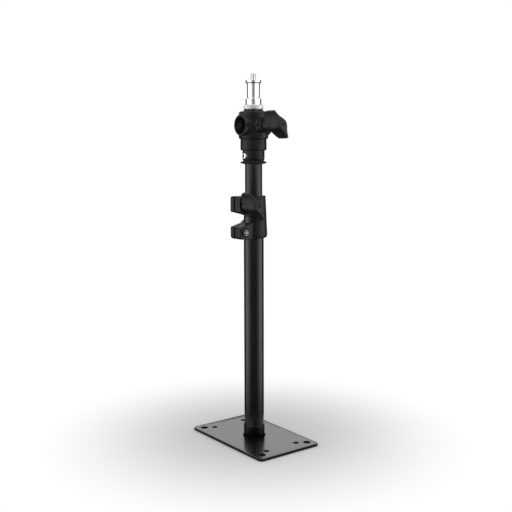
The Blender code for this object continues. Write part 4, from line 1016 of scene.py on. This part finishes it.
def make_spigot():
    low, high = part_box("spigot_body")
    foot, top = low.z, high.z
    waist_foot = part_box("knurled_ring")[0].z + SPIGOT_LOWER_LENGTH
    rim_foot = top - SPIGOT_RIM_HEIGHT
    shank = make_object("spigot_shank", turned(filleted([
        (0, foot, 0), (SPIGOT_RADIUS, foot, 1.2 * MM), (SPIGOT_RADIUS, waist_foot, 0.5 * MM),
        (SPIGOT_WAIST_RADIUS, waist_foot + SPIGOT_WAIST_TAPER, 0.9 * MM),
        (SPIGOT_WAIST_RADIUS, rim_foot - SPIGOT_WAIST_TAPER, 0.9 * MM),
        (SPIGOT_RIM_RADIUS, rim_foot, 0.35 * MM), (SPIGOT_RIM_RADIUS, top, 0.9 * MM), (0, top, 0),
    ], 8)))
    cut(shank, rod(STUD_HOLE_RADIUS, top - STUD_HOLE_DEPTH, top + OVERSHOOT))
    settle(shank)
    finish_piece(shank, "spigot", CHROME, "spigot_body")

    stud_low, stud_high, radius = extent("spigot_stud")
    stud = make_object("threaded_stud", threaded_rod(
        radius, stud_low, stud_high, STUD_PITCH, STUD_THREAD_DEPTH, 0.9 * MM, top + 0.6 * MM,
        stud_high + 1 * MM), sharp=25)
    finish_piece(stud, "spigot", CHROME, "spigot_stud")


def dress_cad_nodes():
    """Procedural materials for the CAD nodes that stay, most of them inside."""
    finishes = {
        "foot_plug": DARK_STEEL, "foot_screw": ZINC, "collar_knob_insert": BRASS, "guide_ring": PLASTIC,
        "mast_end_plug": PLASTIC, "head_thread_insert": BRASS, "pressure_pad": BRASS,
        "head_knob_screw": ZINC,
    }
    for name, finish in finishes.items():
        dress(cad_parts[name], finish)


def background_share(tree):
    """One where a ray shows the background: to the camera, in a gloss and through glass."""
    path = node(tree, "LightPath")
    share = node(tree, "Math", {0: path.outputs["Is Camera Ray"], 1: path.outputs["Is Glossy Ray"]},
                 operation='MAXIMUM').outputs[0]
    return node(tree, "Math", {0: share, 1: path.outputs["Is Transmission Ray"]},
                operation='MAXIMUM').outputs[0]


def empty_tree(owner):
    """The node tree of a material or world, with nothing in it."""
    owner.use_nodes = True
    owner.node_tree.nodes.clear()
    return owner.node_tree


def make_floor():
    """A white floor that takes the object's shadow and light near it. Its fade from that lit grey floor into
    a white glow further out is a painted soft shadow round the object.
    """
    bm = bmesh.new()
    bmesh.ops.create_circle(bm, cap_ends=True, segments=96, radius=FLOOR_RADIUS)
    floor = make_object("studio_floor", bm, Matrix.Translation((0, 0, -FLOOR_DROP)))
    material = bpy.data.materials.new("white_floor")
    tree = empty_tree(material)
    camera_ray = node(tree, "LightPath").outputs["Is Camera Ray"]
    place = node(tree, "NewGeometry").outputs["Position"]
    flat = node(tree, "VectorMath", {0: place, 1: (1, 1, 0)}, operation='MULTIPLY').outputs[0]
    radius = node(tree, "VectorMath", {0: flat, 1: FLOOR_CENTRE}, operation='DISTANCE').outputs["Value"]
    # Painted shadow: the camera sees the lit grey floor near the object, fading into white between
    # SHADE_INNER and SHADE_OUTER.
    share = scaled(tree, ranged(tree, radius, SHADE_INNER, SHADE_OUTER, 0.0, 1.0, True), camera_ray)
    near = node(tree, "BsdfDiffuse", {"Color": (FLOOR_GREY, FLOOR_GREY, FLOOR_GREY, 1)}).outputs[0]
    white = node(tree, "Emission", {"Color": (1, 1, 1, 1), "Strength": 1.0}).outputs[0]
    mixed = node(tree, "MixShader", {0: share, 1: near, 2: white}).outputs[0]
    node(tree, "OutputMaterial", {"Surface": mixed})
    floor.data.materials.append(material)


def make_world():
    """White where it is seen, and a little dimmer as a light."""
    world = bpy.data.worlds.new("studio")
    bpy.context.scene.world = world
    tree = empty_tree(world)
    lit = node(tree, "Background", {"Color": (1, 1, 1, 1), "Strength": WORLD_FILL}).outputs[0]
    shown = node(tree, "Background", {"Color": (1, 1, 1, 1), "Strength": 1.0}).outputs[0]
    mixed = node(tree, "MixShader", {0: background_share(tree), 1: lit, 2: shown}).outputs[0]
    node(tree, "OutputWorld", {"Surface": mixed})


def around(azimuth, distance, height):
    """A place round the object, its azimuth counted from the camera's side, to the right."""
    angle = CAMERA_AZIMUTH + math.radians(azimuth)
    return Vector((distance * math.sin(angle), -distance * math.cos(angle), height))


def make_softbox(name, azimuth):
    """A lamp that gives form to matt surfaces. The reflector walls stand for it in a gloss."""
    lamp = bpy.data.lights.new(name, 'AREA')
    lamp.shape = 'RECTANGLE'
    lamp.size, lamp.size_y = SOFTBOX_SIZE
    lamp.energy = SOFTBOX_RADIANCE * math.pi * lamp.size * lamp.size_y
    obj = bpy.data.objects.new(name, lamp)
    bpy.context.scene.collection.objects.link(obj)
    obj.location = around(azimuth, SOFTBOX_DISTANCE, SOFTBOX_HEIGHT)
    inward = Vector((-obj.location.x, -obj.location.y, 0))
    obj.rotation_euler = inward.to_track_quat('-Z', 'Y').to_euler()
    obj.visible_camera = False
    obj.visible_glossy = False


def reflector_level(azimuth, front):
    """How bright the reflectors are: dim behind the camera, bright at the sides, dark past them."""
    aside = abs(azimuth)
    front_level, front_end, side_start = front
    level = front_level + (SIDE_LEVEL - front_level) * smoothstep(aside, front_end, side_start)
    return level + (REAR_LEVEL - level) * smoothstep(aside, *SIDE_TO_REAR)


def glow_sheet(name, rows, reach, front):
    """A curved sheet round the object that only glossy rays see, from rows of (radius, height, share)."""
    bm = bmesh.new()
    level = bm.verts.layers.float.new("level")
    columns = []
    for azimuth in range(-reach, reach + 1):
        column = []
        for distance, height, share in rows:
            column.append(bm.verts.new(around(azimuth, distance, height)))
            column[-1][level] = share * reflector_level(azimuth, front)
        columns.append(column)
    for first, second in zip(columns, columns[1:]):
        for row in range(len(rows) - 1):
            bm.faces.new((first[row], second[row], second[row + 1], first[row + 1]))
    sheet = make_object(name, bm)
    material = bpy.data.materials.new(name)
    tree = empty_tree(material)
    material.cycles.emission_sampling = 'NONE'
    strength = node(tree, "Attribute", attribute_name="level").outputs["Fac"]
    glow = node(tree, "Emission", {"Color": (1, 1, 1, 1), "Strength": strength}).outputs[0]
    node(tree, "OutputMaterial", {"Surface": glow})
    sheet.data.materials.append(material)
    sheet.visible_camera = False
    sheet.visible_diffuse = False
    sheet.visible_shadow = False


def upright(radius, low, high, share=1.0):
    """The two rows of a wall that stands round the object."""
    return [(radius, low, share), (radius, high, share)]


def make_reflectors():
    """What the glosses show: a floor that dims towards the plate, two tiers of wall and a dark rear."""
    glow_sheet("reflector_floor", [(radius, SHEET_HEIGHT, share) for radius, share in FLOOR_GLOW],
               FULL_CIRCLE_REACH, LOW_FRONT)
    glow_sheet("low_reflectors", upright(WALL_RADIUS, SHEET_HEIGHT, WALL_SPLIT),
               LOW_WALL_REACH, LOW_FRONT)
    glow_sheet("high_reflectors", upright(WALL_RADIUS, WALL_SPLIT, WALL_HEIGHT, HIGH_WALL_SHARE),
               HIGH_WALL_REACH, HIGH_FRONT)
    glow_sheet("rear_flag", upright(REAR_FLAG_RADIUS, SHEET_HEIGHT, REAR_FLAG_HEIGHT),
               FULL_CIRCLE_REACH, LOW_FRONT)


def make_camera():
    camera = bpy.data.cameras.new("camera")
    camera.sensor_width = SENSOR
    camera.lens = CAMERA_LENS
    camera.clip_start, camera.clip_end = CAMERA_NEAR, CAMERA_FAR
    obj = bpy.data.objects.new("camera", camera)
    bpy.context.scene.collection.objects.link(obj)
    ahead = Vector((-math.sin(CAMERA_AZIMUTH) * math.cos(CAMERA_PITCH),
                    math.cos(CAMERA_AZIMUTH) * math.cos(CAMERA_PITCH), -math.sin(CAMERA_PITCH)))
    level = ahead.to_track_quat('-Z', 'Y').to_matrix().to_4x4()
    obj.matrix_world = Matrix.Translation(CAMERA_PLACE) @ level @ Matrix.Rotation(CAMERA_ROLL, 4, 'Z')
    bpy.context.scene.camera = obj


make_camera()
make_plate()
make_foot()
make_tubes()
make_bush()
make_collar()
make_clamp_screw()
make_clamp_nut()
make_knob_bolt()
make_knob_washer()
make_neck()
make_neck_screw()
make_head()
make_knob("head_wing_knob", "head_knob", HEAD_KNOB_HUB)
make_knob("collar_wing_knob", "collar_knob", COLLAR_KNOB_HUB)
make_seal()
make_knurled_ring()
make_spigot()
dress_cad_nodes()
make_floor()
make_world()
make_softbox("left_softbox", -SOFTBOX_AZIMUTH)
make_softbox("right_softbox", SOFTBOX_AZIMUTH)
make_reflectors()
bpy.context.scene.view_settings.view_transform = 'Standard'
